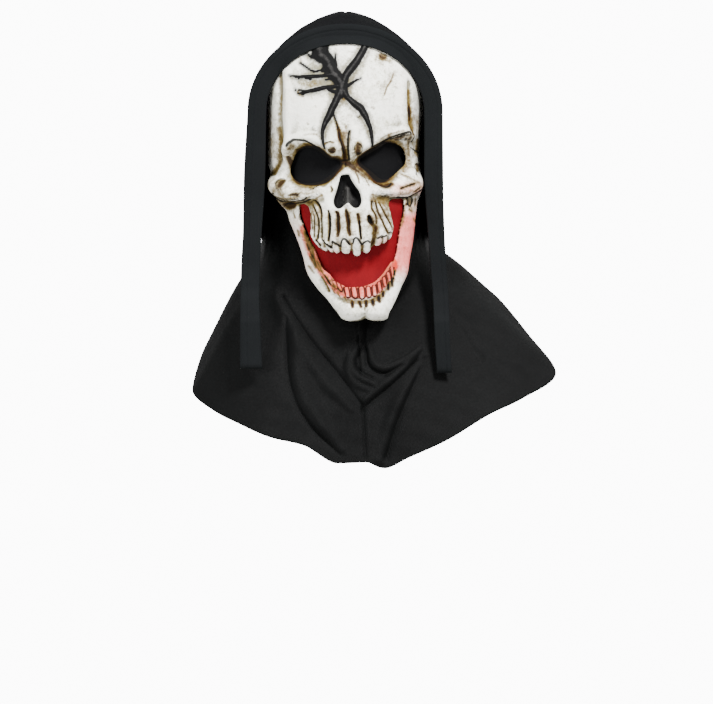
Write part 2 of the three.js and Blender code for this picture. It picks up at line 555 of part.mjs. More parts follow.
// Closed disc from two ringed grids whose first rows shrink to a middle.
function discOf(front, back) {
  const count = front[0].length;
  const rings = front.length;
  const middle = (row) => row.reduce((sum, p) => sum.add(p), new THREE.Vector3()).divideScalar(count);
  const points = [...front.flat(), ...back.flat(), middle(front[0]), middle(back[0])];
  const at = (layer, ring, i) => (layer * rings + ring) * count + (i % count);
  const faces = [];
  for (let i = 0; i < count; i += 1) {
    faces.push(points.length - 2, at(0, 0, i), at(0, 0, i + 1));
    faces.push(points.length - 1, at(1, 0, i + 1), at(1, 0, i));
    for (let r = 0; r + 1 < rings; r += 1) {
      faces.push(at(0, r, i), at(0, r + 1, i), at(0, r + 1, i + 1));
      faces.push(at(0, r, i), at(0, r + 1, i + 1), at(0, r, i + 1));
      faces.push(at(1, r, i), at(1, r + 1, i + 1), at(1, r + 1, i));
      faces.push(at(1, r, i), at(1, r, i + 1), at(1, r + 1, i + 1));
    }
    const rim = rings - 1;
    faces.push(at(0, rim, i), at(1, rim, i), at(1, rim, i + 1));
    faces.push(at(0, rim, i), at(1, rim, i + 1), at(0, rim, i + 1));
  }
  return facingOut(points, faces);
}

// Point of the hood's outside: forward to back along, and side from -1 (left end) to 1 (right end).
function hoodSurface(side, back) {
  const column = (name) => between(HOOD_ARCHES, 'along', name, THREE.MathUtils.clamp(back, 0, 1));
  const straight = column('straight');
  const power = 2 / column('square');
  const off = Math.min(Math.abs(side), 1);
  let share = straight * ((1 - off) / (1 - HOOD_CORNER));
  let out = column('half') + HOOD_FLARE * (1 - share / straight);
  if (off <= HOOD_CORNER) {
    const angle = (off / HOOD_CORNER) * 90 * DEGREES;
    share = straight + (1 - straight) * Math.max(0, Math.cos(angle)) ** power;
    out = column('half') * Math.sin(angle) ** power;
  }
  return new THREE.Vector3(
    Math.sign(side) * out,
    column('endY') + share * (column('topY') - column('endY')),
    column('endZ') + share * (column('topZ') - column('endZ')),
  );
}

function hood() {
  const sides = steps(HOOD_FACETS.around).map((t) => 2 * t - 1);
  const backs = steps(HOOD_FACETS.arches);
  const outer = gridOf(hoodSurface, sides, backs);
  const inner = insetGrid(outer, HOOD_WALL, HOOD_MIDDLE);
  return wallBetween(outer, inner);
}

// A grid moved by a wall's thickness along its own normals, towards a point inside.
function insetGrid(grid, thickness, centre, ring = false) {
  const rows = grid.length;
  const columns = grid[0].length;
  return grid.map((row, r) => row.map((point, c) => {
    const left = ring ? (c + columns - 1) % columns : Math.max(c - 1, 0);
    const right = ring ? (c + 1) % columns : Math.min(c + 1, columns - 1);
    const across = row[right].clone().sub(row[left]);
    const along = grid[Math.min(r + 1, rows - 1)][c].clone().sub(grid[Math.max(r - 1, 0)][c]);
    const normal = across.cross(along).normalize();
    const inward = centre.clone().sub(point);
    if (normal.dot(inward) < 0) normal.negate();
    return point.clone().addScaledVector(normal, thickness);
  }));
}

// The band: from its left free end up, over the arch and down to its right free end.
function hoodBand() {
  const { side, arch, across } = BAND_FACETS;
  const stations = [];
  const hang = (table, t) => {
    const z = table[0].z + t * (ARCH.z - table[0].z);
    const at = (name) => between(table, 'z', name, z);
    return { face: [at('face'), z], seam: [at('seam'), z], y: at('y') };
  };
  steps(side).slice(0, -1).forEach((t) => stations.push(hang(BAND_LEFT, t)));
  steps(arch).forEach((t) => {
    const angle = Math.PI * (1 - t);
    const point = (half, rise) => [half * Math.cos(angle), ARCH.z + rise * Math.sin(angle)];
    const y = THREE.MathUtils.lerp(BAND_LEFT.at(-1).y, HOOD_ARCHES[0].topY - CLEARANCE, Math.sin(angle));
    stations.push({ face: point(ARCH.faceHalf, ARCH.faceRise), seam: point(ARCH.seamHalf, ARCH.seamRise), y });
  });
  steps(side).slice(0, -1).reverse().forEach((t) => stations.push(hang(BAND_RIGHT, t)));
  const back = stations.map(({ face, seam, y }) => steps(across).map((t) => {
    const x = THREE.MathUtils.lerp(face[0], seam[0], t);
    const z = THREE.MathUtils.lerp(face[1], seam[1], t);
    return new THREE.Vector3(x, Math.min(y, maskDepth(x, z) - BAND_OVER_MASK), z);
  }));
  const front = back.map((row) => row.map((p) => p.clone().add(new THREE.Vector3(0, -BAND_WALL, 0))));
  return wallBetween(front, back);
}

// The cowl's loops at an angle round the neck: behind the jaw, at the neck, and at the hem.
function cowlLoops(turn) {
  const off = Math.abs(turn);
  const sign = turn < 0 ? -1 : 1;
  let top;
  if (off <= RIM_EDGE_END) {
    const up = between(RIM_EDGE, 'turn', 'up', off);
    const rim = maskForm(sign * 90, up);
    const chin = THREE.MathUtils.smoothstep(off, 0, CHIN_TURN);
    const middle = maskForm(0, up);
    top = new THREE.Vector3(THREE.MathUtils.lerp(middle.x, rim.x, chin), rim.y + RIM_EDGE_INSET, rim.z);
  } else {
    const at = (name) => between(NAPE_EDGE, 'turn', name, off);
    top = new THREE.Vector3(sign * at('x'), at('y'), at('z'));
  }
  const angle = turn * DEGREES;
  const ahead = Math.cos(angle);
  const neck = new THREE.Vector3(
    NECK.half * Math.sin(angle) + NECK.chinShift * Math.max(0, ahead) ** 2,
    NECK.middleY - (ahead > 0 ? NECK.front : NECK.back) * ahead,
    between(NECK_HEIGHTS, 'turn', 'z', off),
  );
  const at = (name) => between(HEM, 'turn', name, turn);
  const hem = new THREE.Vector3(at('x'), at('y'), at('z'));
  const middle = neck.clone().lerp(hem, COWL_SPREAD.middle);
  middle.z += COWL_SPREAD.lift * (1 - Math.max(0, ahead));
  middle.y += COWL_SPREAD.chestDrop * Math.max(0, ahead);
  return [top, neck, middle, hem];
}

function cowl() {
  const turns = steps(COWL_FACETS.columns).slice(0, -1).map((t) => {
    const side = 2 * t - 1;
    return 180 * (COWL_FACETS.frontShare * side + (1 - COWL_FACETS.frontShare) * side ** 3);
  });
  const rows = steps(COWL_FACETS.rows);
  const curves = turns.map((turn) => new THREE.CatmullRomCurve3(cowlLoops(turn), false, 'centripetal'));
  const plain = rows.map((t) => curves.map((curve) => curve.getPoint(t)));
  const lifted = plain.map((row) => row.map((point) => {
    const seen = THREE.MathUtils.smoothstep(-point.y, ...FOLDS_FROM);
    return point.clone().add(new THREE.Vector3(0, -swelling(COWL_FOLDS, drawn(point)) * seen, 0));
  }));
  return wallBetween(lifted, insetGrid(lifted, COWL_WALL, COWL_BELOW, true), true);
}

function piece(name, geometry, color, roughness, metalness = 0) {
  const mesh = new THREE.Mesh(geometry, new THREE.MeshStandardMaterial({ color, roughness, metalness }));
  mesh.name = name;
  return mesh;
}

const mask = new THREE.Group();
mask.add(
  piece('mask_shell', maskShell(), COLOURS.bone, 0.5),
  piece('mouth_cloth', mouthCloth(), COLOURS.red, 0.9),
  piece('eye_mesh_left', eyeMesh(EYE_HOLES.left), COLOURS.black_mesh, 0.9),
  piece('eye_mesh_right', eyeMesh(EYE_HOLES.right), COLOURS.black_mesh, 0.9),
);

const cloth = new THREE.Group();
cloth.add(
  piece('hood', hood(), COLOURS.cloth, 0.85),
  piece('hood_band', hoodBand(), COLOURS.band, 0.85),
  piece('cowl', cowl(), COLOURS.cloth, 0.8),
);

const skullMask = new THREE.Group();
skullMask.add(mask, cloth);

export default skullMask;
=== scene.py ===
# %% [markdown]
# # A skull mask with its hood and cowl
# The real thing is four crafts in one: a thin moulded plastic face that is painted by hand, a red mesh
# behind its mouth, black mesh behind its eyes, and a sewn hood and cowl of black knit. The solid frame
# comes first, because every piece made here has to sit where the frame says.

import bpy
import numpy as np
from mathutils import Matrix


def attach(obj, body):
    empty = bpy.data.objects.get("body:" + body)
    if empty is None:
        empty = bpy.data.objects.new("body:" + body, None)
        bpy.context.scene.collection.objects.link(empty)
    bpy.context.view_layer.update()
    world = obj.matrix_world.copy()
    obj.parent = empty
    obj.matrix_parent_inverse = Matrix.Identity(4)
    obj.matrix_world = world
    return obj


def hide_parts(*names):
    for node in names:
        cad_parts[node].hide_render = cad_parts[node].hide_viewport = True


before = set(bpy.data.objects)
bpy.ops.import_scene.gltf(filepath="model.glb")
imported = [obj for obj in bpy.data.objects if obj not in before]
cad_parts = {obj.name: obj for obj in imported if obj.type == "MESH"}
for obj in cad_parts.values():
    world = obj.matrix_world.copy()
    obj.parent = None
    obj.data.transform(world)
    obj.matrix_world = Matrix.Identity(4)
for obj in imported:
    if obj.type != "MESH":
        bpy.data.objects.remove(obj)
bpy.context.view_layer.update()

# %% [markdown]
# ## The front drawing
# All the lines of the face are drawn on one front view, as seen by an eye 2.8 metres in front of the mask.
# A point on the drawing is (x, z): x counts steps to the right of the mask's middle, z counts steps above
# the eye's level, and a step is 1.04 mm on the plane of the mask's front. Drawing in perspective keeps
# lines that lie deep on the sides of the face at their seen places. The camera stands where that eye is.

# %% The eye, and the way to and from the drawing
EYE = np.array([0.012, -2.912, -0.365])
STEP, PLANE_Y, MIDDLE = 0.00104, -0.112, 11.5
IMAGE_WIDTH, SENSOR = 713, 36


def step_at(y):
    """Length of one step at depth y: it grows in proportion to the distance from the eye."""
    return STEP * (y - EYE[1]) / (PLANE_Y - EYE[1])


def drawn(points):
    """Places of points on the drawing: the offset from the eye's axis over the step at their depth."""
    step = step_at(points[..., 1])
    return np.stack([MIDDLE + (points[..., 0] - EYE[0]) / step, (points[..., 2] - EYE[2]) / step], -1)


def undrawn(place, y):
    """Points at depth y that are seen at a place of the drawing: the reverse of drawn."""
    x, z, y = np.broadcast_arrays(place[..., 0], place[..., 1], y)
    step = step_at(y)
    return np.stack([EYE[0] + (x - MIDDLE) * step, y, EYE[2] + z * step], -1)


camera = bpy.data.objects.new("camera", bpy.data.cameras.new("camera"))
camera.location = EYE
camera.rotation_euler = (np.pi / 2, 0, 0)
camera.data.sensor_width = SENSOR
camera.data.lens = SENSOR * (PLANE_Y - EYE[1]) / (IMAGE_WIDTH * STEP)
bpy.context.scene.collection.objects.link(camera)
bpy.context.scene.camera = camera
print("lens, mm:", round(camera.data.lens, 1))

# %% [markdown]
# ## Curves through a few numbers
# A form that changes along its height is kept as a short table, one row for each section. A smooth curve
# runs through each column. It never swings past the numbers of its rows, so a flat stretch in the table
# stays flat. A drawn line is a few points too, which a second kind of curve rounds off.


# %% Smooth curves through tables
def between(rows, column, at):
    """One column of a table, at places in column 0: a cubic in each gap, whose slope at a row is the harmonic
    mean of the slopes on both sides, or zero where they differ in sign."""
    x, y = rows[:, 0], rows[:, column]
    slope = np.diff(y) / np.diff(x)
    both = slope[:-1] * slope[1:]
    total = np.where(both > 0, slope[:-1] + slope[1:], 1)
    tangent = np.concatenate([slope[:1], np.where(both > 0, 2 * both / total, 0), slope[-1:]])
    at = np.clip(at, x[0], x[-1])
    i = np.clip(np.searchsorted(x, at, side="right") - 1, 0, len(x) - 2)
    gap = x[i + 1] - x[i]
    t = (at - x[i]) / gap
    return (
        (2 * t**3 - 3 * t**2 + 1) * y[i] + (t**3 - 2 * t**2 + t) * gap * tangent[i]
        + (3 * t**2 - 2 * t**3) * y[i + 1] + (t**3 - t**2) * gap * tangent[i + 1]
    )


def ease(x, start, end):
    """0 before start, 1 after end, and a smooth cubic between them."""
    t = np.clip((x - start) / (end - start), 0, 1)
    return t * t * (3 - 2 * t)


print("ease a quarter of the way:", ease(0.25, 0, 1))

# %% Smooth lines and outlines
PIECES = 5


def smooth_line(points):
    """A rounder line through drawn points: a Catmull-Rom curve, cut into short straight pieces."""
    p = np.asarray(points, float)
    if len(p) < 3:
        return p
    p = np.vstack([2 * p[:1] - p[1:2], p, 2 * p[-1:] - p[-2:-1]])
    t = np.linspace(0, 1, PIECES, endpoint=False)[:, None]
    a, b, c, d = (p[k : len(p) - 3 + k, None] for k in range(4))
    line = 0.5 * (2 * b + (c - a) * t + (2 * a - 5 * b + 4 * c - d) * t**2 + (3 * b - 3 * c + d - a) * t**3)
    return np.vstack([line.reshape(-1, p.shape[1]), p[-2:-1]])


def nearest_on(line, place):
    """Distance from places to a line, the nearest point on it, and that point's width where the line has a
    third column: the smallest over the line's straight pieces of the distance to each."""
    flat = place.reshape(-1, 2)
    best = np.full(len(flat), np.inf)
    spot = np.zeros((len(flat), line.shape[1]))
    for a, b in zip(line[:-1], line[1:]):
        d = b[:2] - a[:2]
        t = np.clip(((flat - a[:2]) @ d) / max(d @ d, 1e-12), 0, 1)[:, None]
        at = a + t * (b - a)
        off = np.hypot(*(flat - at[:, :2]).T)
        closer = off < best
        best = np.where(closer, off, best)
        spot[closer] = at[closer]
    return best.reshape(place.shape[:-1]), spot.reshape(*place.shape[:-1], -1)


def inside(outline, place):
    """Whether places are inside a closed outline: an upward ray crosses its sides an odd number of times."""
    x, z = place[..., 0], place[..., 1]
    odd = np.zeros(x.shape, bool)
    for (ax, az), (bx, bz) in zip(outline, np.roll(outline, -1, axis=0)):
        if az != bz:
            odd ^= ((az > z) != (bz > z)) & (x < ax + (bx - ax) * (z - az) / (bz - az))
    return odd


def closed(outline):
    """An outline whose last point is its first again."""
    return np.vstack([outline, outline[:1]])


print("a line through three points has", len(smooth_line([[0, 0], [1, 1], [2, 0]])) - 1, "straight pieces")


# %% [markdown]
# ## From a grid of points to a mesh
# Each surface is a function of two parameters, worked out on a whole grid at once. One helper joins the
# grid with four-sided faces, and a second hands the arrays to Blender with the finish and the paint's
# numbers. A sheet gets its wall from a third, and a fourth measures how much cloth is in it.


# %% From grid to mesh
def grid_faces(rows, columns, ring=False):
    """Four corners of each cell of a grid; ring joins the last column to the first."""
    r, c = np.meshgrid(np.arange(rows - 1), np.arange(columns if ring else columns - 1), indexing="ij")
    c2 = (c + 1) % columns
    corners = [r * columns + c, r * columns + c2, (r + 1) * columns + c2, (r + 1) * columns + c]
    return np.stack(corners, -1).reshape(-1, 4)


def make_piece(name, points, faces, finish, **attributes):
    """A mesh object from arrays of points and faces; each attribute is one value for a point."""
    points = points.reshape(-1, 3)
    used, faces = np.unique(faces, return_inverse=True)
    faces = faces.reshape(-1, 4)
    mesh = bpy.data.meshes.new(name)
    mesh.from_pydata(points[used].tolist(), [], faces.tolist())
    mesh.polygons.foreach_set("use_smooth", np.ones(len(faces), bool))
    for key, values in attributes.items():
        values = np.asarray(values, float)
        if key == "uv":
            layer = mesh.uv_layers.new(name="UVMap")
            corners = np.zeros(len(mesh.loops), np.int32)
            mesh.loops.foreach_get("vertex_index", corners)
            layer.data.foreach_set("uv", values.reshape(-1, 2)[used][corners].ravel())
        else:
            mesh.attributes.new(key, "FLOAT", "POINT").data.foreach_set("value", values.ravel()[used])
    mesh.update()
    piece = bpy.data.objects.new(name, mesh)
    bpy.context.scene.collection.objects.link(piece)
    mesh.materials.append(finish)
    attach(piece, "root")
    print(name + ":", len(mesh.vertices), "points,", len(mesh.polygons), "faces")
    return piece


print("faces of a grid of 3 by 4 points:", len(grid_faces(3, 4)), "or as a ring", len(grid_faces(3, 4, True)))


# %% Wall and area
def thicken(piece, thickness):
    """Gives a sheet its wall: it grows behind the faces, and the edges are closed."""
    wall = piece.modifiers.new("wall", "SOLIDIFY")
    wall.thickness, wall.offset, wall.use_even_offset = thickness, -1, False


def area_of(piece):
    """Area of a mesh in square metres, one layer: half the size of each face's crossed diagonals, summed."""
    p = np.zeros(3 * len(piece.data.vertices))
    piece.data.vertices.foreach_get("co", p)
    f = np.array([face.vertices[:] for face in piece.data.polygons])
    a, b, c, d = (p.reshape(-1, 3)[f[:, k]] for k in range(4))
    return float(np.linalg.norm(np.cross(c - a, d - b), axis=1).sum() / 2)


# %% [markdown]
# ## Shader maths as plain sums
# Blender builds a material from nodes. Written out one by one they hide the idea, so a small class stands
# for one output of a node, and adding or multiplying two of them adds the Math node. Colours never go
# through a Math node, which would turn them grey: they have a mixing method of their own.


# %% One output of a node
class Wire:
    """One output of a material's nodes, with the sums that the finishes below use."""

    def __init__(self, bench, socket):
        self.bench, self.socket = bench, socket

    def sum(self, operation, a, b):
        return self.bench.node("Math", {"operation": operation}, {0: a, 1: b})

    def __add__(self, other):
        return self.sum("ADD", self, other)

    def __sub__(self, other):
        return self.sum("SUBTRACT", self, other)

    def __mul__(self, other):
        return self.sum("MULTIPLY", self, other)

    __radd__, __rmul__ = __add__, __mul__

    def eased(self, start, end):
        """0 below start, 1 above end and a smooth step between them."""
        sockets = {"Value": self, "From Min": start, "From Max": end}
        return self.bench.node("MapRange", {"interpolation_type": "SMOOTHSTEP"}, sockets)

    def sine(self):
        return self.sum("SINE", self, 0)

    def held(self):
        """Kept between 0 and 1."""
        return self.bench.node("Clamp", {}, {"Value": self})


# %% The paint bench
class Bench:
    """One material on the bench: node() adds any node, and finished() hands the material over."""

    def __init__(self, name):
        self.material = bpy.data.materials.new(name)
        self.material.use_nodes = True
        self.tree = self.material.node_tree
        self.tree.nodes.clear()

    def node(self, kind, settings, sockets, output=0):
        node = self.tree.nodes.new("ShaderNode" + kind)
        for key, value in settings.items():
            setattr(node, key, value)
        for key, value in sockets.items():
            if isinstance(value, Wire):
                self.tree.links.new(value.socket, node.inputs[key])
            else:
                node.inputs[key].default_value = value
        return Wire(self, node.outputs[output])

    def place(self):
        return self.node("TexCoord", {}, {}, "Object")

    def uv(self):
        return self.node("TexCoord", {}, {}, "UV")

    def painted(self, name):
        """The value of one of the piece's own attributes."""
        return self.node("Attribute", {"attribute_name": name}, {}, "Fac")

    def noise(self, where, scale, detail=3, roughness=0.6):
        sockets = {"Vector": where, "Scale": scale, "Detail": detail, "Roughness": roughness}
        return self.node("TexNoise", {}, sockets)

    def mix(self, a, b, share):
        """Colour a, with share of it replaced by colour b."""
        return self.node("Mix", {"data_type": "RGBA"}, {0: share, 6: a, 7: b}, 2)

    def stretched(self, where, scale):
        return self.node("Mapping", {}, {"Vector": where, "Scale": scale})

    def bump(self, height, distance, strength):
        """A normal that tilts as if the surface rose by height times distance."""
        return self.node("Bump", {}, {"Height": height, "Distance": distance, "Strength": strength})

    def finished(self, **shader):
        sockets = {key.replace("_", " "): value for key, value in shader.items()}
        surface = self.node("BsdfPrincipled", {}, sockets)
        out = self.tree.nodes.new("ShaderNodeOutputMaterial")
        self.tree.links.new(surface.socket, out.inputs["Surface"])
        return self.material


def linear(red, green, blue):
    """A screen colour, 0 to 255, as the linear colour that a shader takes."""
    c = np.array([red, green, blue]) / 255
    return (*np.where(c <= 0.04045, c / 12.92, ((c + 0.055) / 1.055) ** 2.4).tolist(), 1.0)


print("half of the screen's white is", round(linear(128, 128, 128)[0], 3), "of the light")


# %% [markdown]
# ## The mask's smooth form
# A vacuum-formed face starts from a smooth dome. Here each level of the dome is half a superellipse, which
# is squarer than an ellipse, so the forehead is broad and its sides turn back quickly. Each row of the
# table says how high a level is, how far it reaches left and right, how far out its front and its rim are,
# and how square it is.

# %% The dome of the face
HALF_WIDTH, HEIGHT, DEPTH, WALL = 0.084, 0.307, 0.078, 0.002
CHIN_Z, BACK_Y = -0.332, -0.034
# up, left, right, front, rim, square: shares of the mask's height, half width and depth
DOME = np.array([
    [0.000, -0.06, 0.46, 0.67, 0.59, 2.4],
    [0.008, 0.03, 0.53, 0.82, 0.57, 2.4],
    [0.030, 0.10, 0.55, 0.92, 0.54, 2.4],
    [0.071, 0.21, 0.63, 0.90, 0.49, 2.3],
    [0.113, 0.35, 0.70, 0.86, 0.41, 2.2],
    [0.168, 0.48, 0.79, 0.86, 0.33, 2.0],
    [0.221, 0.53, 0.82, 0.90, 0.28, 2.0],
    [0.263, 0.58, 0.85, 0.94, 0.23, 2.0],
    [0.305, 0.64, 0.87, 0.96, 0.19, 2.1],
    [0.343, 0.70, 0.88, 0.97, 0.15, 2.2],
    [0.378, 0.74, 0.90, 0.97, 0.12, 2.3],
    [0.410, 0.84, 0.92, 0.97, 0.08, 2.3],
    [0.435, 0.90, 0.95, 0.97, 0.05, 2.3],
    [0.463, 0.97, 0.98, 0.97, 0.03, 2.3],
    [0.505, 0.95, 0.96, 0.95, 0.01, 2.3],
    [0.544, 0.98, 0.95, 0.95, 0.00, 2.3],
    [0.596, 0.99, 0.94, 1.00, 0.00, 2.4],
    [0.666, 0.99, 0.96, 1.00, 0.00, 2.4],
    [0.769, 0.99, 0.99, 0.96, 0.03, 2.4],
    [0.855, 0.94, 0.95, 0.88, 0.08, 2.4],
    [0.913, 0.83, 0.83, 0.77, 0.13, 2.4],
    [0.963, 0.66, 0.66, 0.61, 0.18, 2.4],
    [1.000, 0.50, 0.49, 0.44, 0.21, 2.4],
])


def dome(turn, up):
    """Half a superellipse at each level: x is the middle plus the half width times sin(turn), and the depth
    ahead of the rim is (1 - |sin(turn)|^square)^(1/square) of the way to the front."""
    left, right, front, rim, square = (between(DOME, k, up) for k in range(1, 6))
    side = np.sin(turn)
    bulge = np.maximum(0, 1 - np.abs(side) ** square) ** (1 / square)
    x = (right - left + (right + left) * side) / 2 * HALF_WIDTH
    y = BACK_Y - DEPTH * (rim + (front - rim) * bulge)
    return np.stack(np.broadcast_arrays(x, y, CHIN_Z + up * HEIGHT), -1)


def dome_normal(turn, up):
    """Out of the dome: the cross product of its slopes around and upwards, by small differences."""
    turn, up = np.clip(turn, -1.5, 1.5), np.clip(up, 0.02, 0.985)
    around = dome(turn + 0.02, up) - dome(turn - 0.02, up)
    rise = dome(turn, up + 0.01) - dome(turn, up - 0.01)
    normal = np.cross(around, rise)
    return normal / np.linalg.norm(normal, axis=-1, keepdims=True)


def dome_depth(x, z):
    """Depth of the dome at a place seen from straight in front."""
    up = (z - CHIN_Z) / HEIGHT
    left, right, front, rim, square = (between(DOME, k, up) for k in range(1, 6))
    side = np.minimum(1, np.abs((2 * x / HALF_WIDTH - right + left) / (right + left)))
    return BACK_Y - DEPTH * (rim + (front - rim) * (1 - side**square) ** (1 / square))


brow_line = dome(np.linspace(-np.pi / 2, np.pi / 2, 9), 0.63)
print("dome at the brows, mm wide and deep:", np.round(1000 * np.ptp(brow_line, 0)[:2], 1))


# %% [markdown]
# ## Openings
# The eye holes and the open mouth are outlines on the front drawing. The grid's cells inside an outline are
# left out, and the points along the cut move onto the outline, which gives a clean edge without a boolean.
# The mouth's upper edge follows the tips of the upper teeth. The nose isn't cut: it is a hollow painted
# black.

# %% Eye holes and nose
EYE_HOLES = {
    "left": smooth_line(closed(np.array([
        [-45.7, 202], [-40.3, 204], [-33.7, 203.7], [-27.7, 202], [-23, 198.7], [-19, 195.3],
        [-13.7, 192.7],
        [-7.7, 191.7], [-4.6, 189.4], [-6, 185.4], [-9.7, 181.4], [-13, 178], [-17.7, 174.7], [-23, 171.3],
        [-29.7, 169.3], [-36.3, 168.5], [-43, 169], [-48.3, 171], [-52.3, 175], [-54.6, 179.3],
        [-54.2, 184.7],
        [-52, 190.7], [-49.9, 196.7],
    ])))[:-1],
    "right": smooth_line(closed(np.array([
        [15.7, 193.6], [20, 196], [27.3, 200], [35.3, 204.9], [40.7, 208.6], [46.7, 209], [52.7, 207.5],
        [57.3, 203.8], [60.2, 198.6], [61.3, 193.3], [60, 188], [55.3, 183], [50.7, 178.7], [46.7, 175.3],
        [42, 172.9], [36.7, 172.7], [32.7, 175], [27.3, 179.8], [22, 183.8], [17.3, 187.3], [15, 190.7],
    ])))[:-1],
}
NOSE = smooth_line(closed(np.array([
    [-4.6, 177.3], [0, 178], [4, 177.4], [6.3, 172.7], [10.3, 166], [13.9, 161.3], [15.9, 155.3],
    [15.9, 148.9],
    [13.7, 144.7], [9.7, 143.8], [5.7, 146.5], [3.4, 148.7], [-0.3, 146.7], [-3.7, 143.8], [-7.4, 143.5],
    [-10.5, 147.3], [-11.2, 152.7], [-9.2, 159.3], [-7.2, 166], [-5.9, 172],
])))[:-1]
print("points of the eye holes:", {name: len(hole) for name, hole in EYE_HOLES.items()}, "nose:", len(NOSE))

# %% The open mouth
# upper edge of the open mouth, along the tips of the upper teeth
TOOTH_LINE = np.array([
    [-34.7, 118.7], [-33.3, 114.7], [-30, 109.3], [-26.7, 105.3], [-24, 103], [-21.5, 101.6],
    [-19.4, 100.7],
    [-17.4, 101], [-16.2, 102.2], [-14.4, 100], [-12, 99.2], [-10.7, 100.6], [-9.4, 98.9], [-7.6, 98.6],
    [-5.6, 99.8], [-4.4, 101.8], [-3, 100], [-1.5, 98.8], [0.6, 98.2], [3, 98.3], [4.5, 99.2], [5.4, 101.2],
    [7.4, 101.4], [8.2, 98.4], [9.6, 96.6], [12, 95.8], [14.4, 96.6], [15.8, 98.6], [16.4, 101.2],
    [17.6, 101],
    [18.6, 99.6], [20.4, 98.9], [22.4, 98.9], [24.2, 100.2], [25.2, 102.4], [25.8, 104.8], [27.2, 106.2],
    [29.2, 107.4], [30.8, 106.4], [33, 106.4], [35, 107.4], [36.1, 109], [37.6, 108.4], [39.6, 109],
    [41.4, 110.4],
    [42.1, 112.4], [43.6, 112], [45.4, 113.8], [46.6, 116], [47.4, 118.6], [47.9, 121],
])
JAW_INNER = smooth_line([
    [-46.2, 147.6], [-46, 138.7], [-45, 132.7], [-43, 127.3], [-41, 122], [-38.7, 117.6], [-36, 112],
    [-32.7, 105.4],
    [-28.7, 96.6], [-25.3, 89.4], [-22.4, 83.6], [-16.9, 79], [-13.3, 75.3], [-10, 71.3], [-2.7, 67.1],
    [3.3, 64.9],
    [15.3, 65.3], [22, 66.7], [29.3, 70], [34.7, 74.7], [38.7, 79.3], [42, 84], [46.2, 90], [48.4, 90.6],
    [50.3, 94.6], [51.6, 99.4], [53.4, 109.3], [54.9, 119], [56.7, 129.3], [58.7, 138], [60, 144.7],
    [58.7, 152.4],
])
MOUTH = np.vstack([
    JAW_INNER,
    smooth_line([
        [57.4, 153.4], [46.4, 152.8], [44, 149.4], [44.2, 144.6], [46, 138.4], [47.4, 131], [48.4, 125.4],
    ]),
    TOOTH_LINE[::-1],
    smooth_line([[-33.9, 123], [-34.2, 132], [-34.8, 140], [-36.6, 145.4], [-40.6, 148.2]]),
])
print("points of the mouth:", len(MOUTH))

# %% Tooth crowns
# crowns from gum to tip: [x, z, half width]
CROWNS = [
    [[-32, 116, 1.9], [-30.6, 111.6, 1.7]], [[-28.4, 113, 2.3], [-25.6, 106, 1.9]],
    [[-23.4, 111, 2.6], [-19.6, 103.4, 2.4]], [[-16.4, 109.6, 2.4], [-13.2, 102.2, 2.3]],
    [[-8.8, 109.6, 1.8], [-7.8, 101.6, 2.9]], [[0, 112, 1.8], [0.7, 106, 3.3], [1.2, 101.2, 3.7]],
    [[11.4, 113, 1.6], [11.8, 106, 3], [12, 98.8, 3.1]],
    [[21, 110.2, 2], [21.4, 105, 3.1], [21.4, 101.6, 3.2]],
    [[32.7, 113.6, 2], [32.9, 109.4, 3]], [[38.3, 116.2, 1.6], [38.8, 111.4, 2.6]],
    [[43.5, 119.4, 1.4], [44.4, 115.2, 2.2]],
    [[1.6, 63.2, 2.3], [3.2, 56.4, 2.1]], [[8.8, 63.2, 2.5], [10.1, 56.2, 2.7]],
    [[16.4, 63.2, 2.7], [17.2, 55.6, 2.8]],
    [[23, 63.8, 2.1], [23.8, 56.6, 2.3]], [[28.8, 65, 1.9], [29.6, 57.4, 2]],
    [[33.6, 68.4, 1.8], [34.5, 61.4, 1.7]],
    [[38.6, 73.4, 1.8], [39.8, 66.4, 1.6]], [[42.6, 78.4, 1.8], [44, 71.6, 1.4]],
    [[46, 84, 1.6], [47, 75.4, 1.3]],
    [[-5.6, 66.4, 1.7], [-3.4, 61.6, 1.3]], [[-10.4, 69.8, 1.7], [-8, 64.4, 1.3]],
    [[-15, 73.8, 1.7], [-12.2, 68, 1.3]],
    [[-20, 78.4, 1.6], [-17.4, 72.6, 1.3]],
]
print("tooth crowns:", len(CROWNS))

# %% [markdown]
# ## Bone
# A modeller would lay strips of clay on the dome for the brows, the cheekbones and the cracks, and draw
# grooves with a tool. Here each strip or groove is a line on the drawing with a width at each point, and it
# swells the surface like a bell curve across the line. Rounded pads do the same around a middle point. A
# height below zero is a groove or a pit.

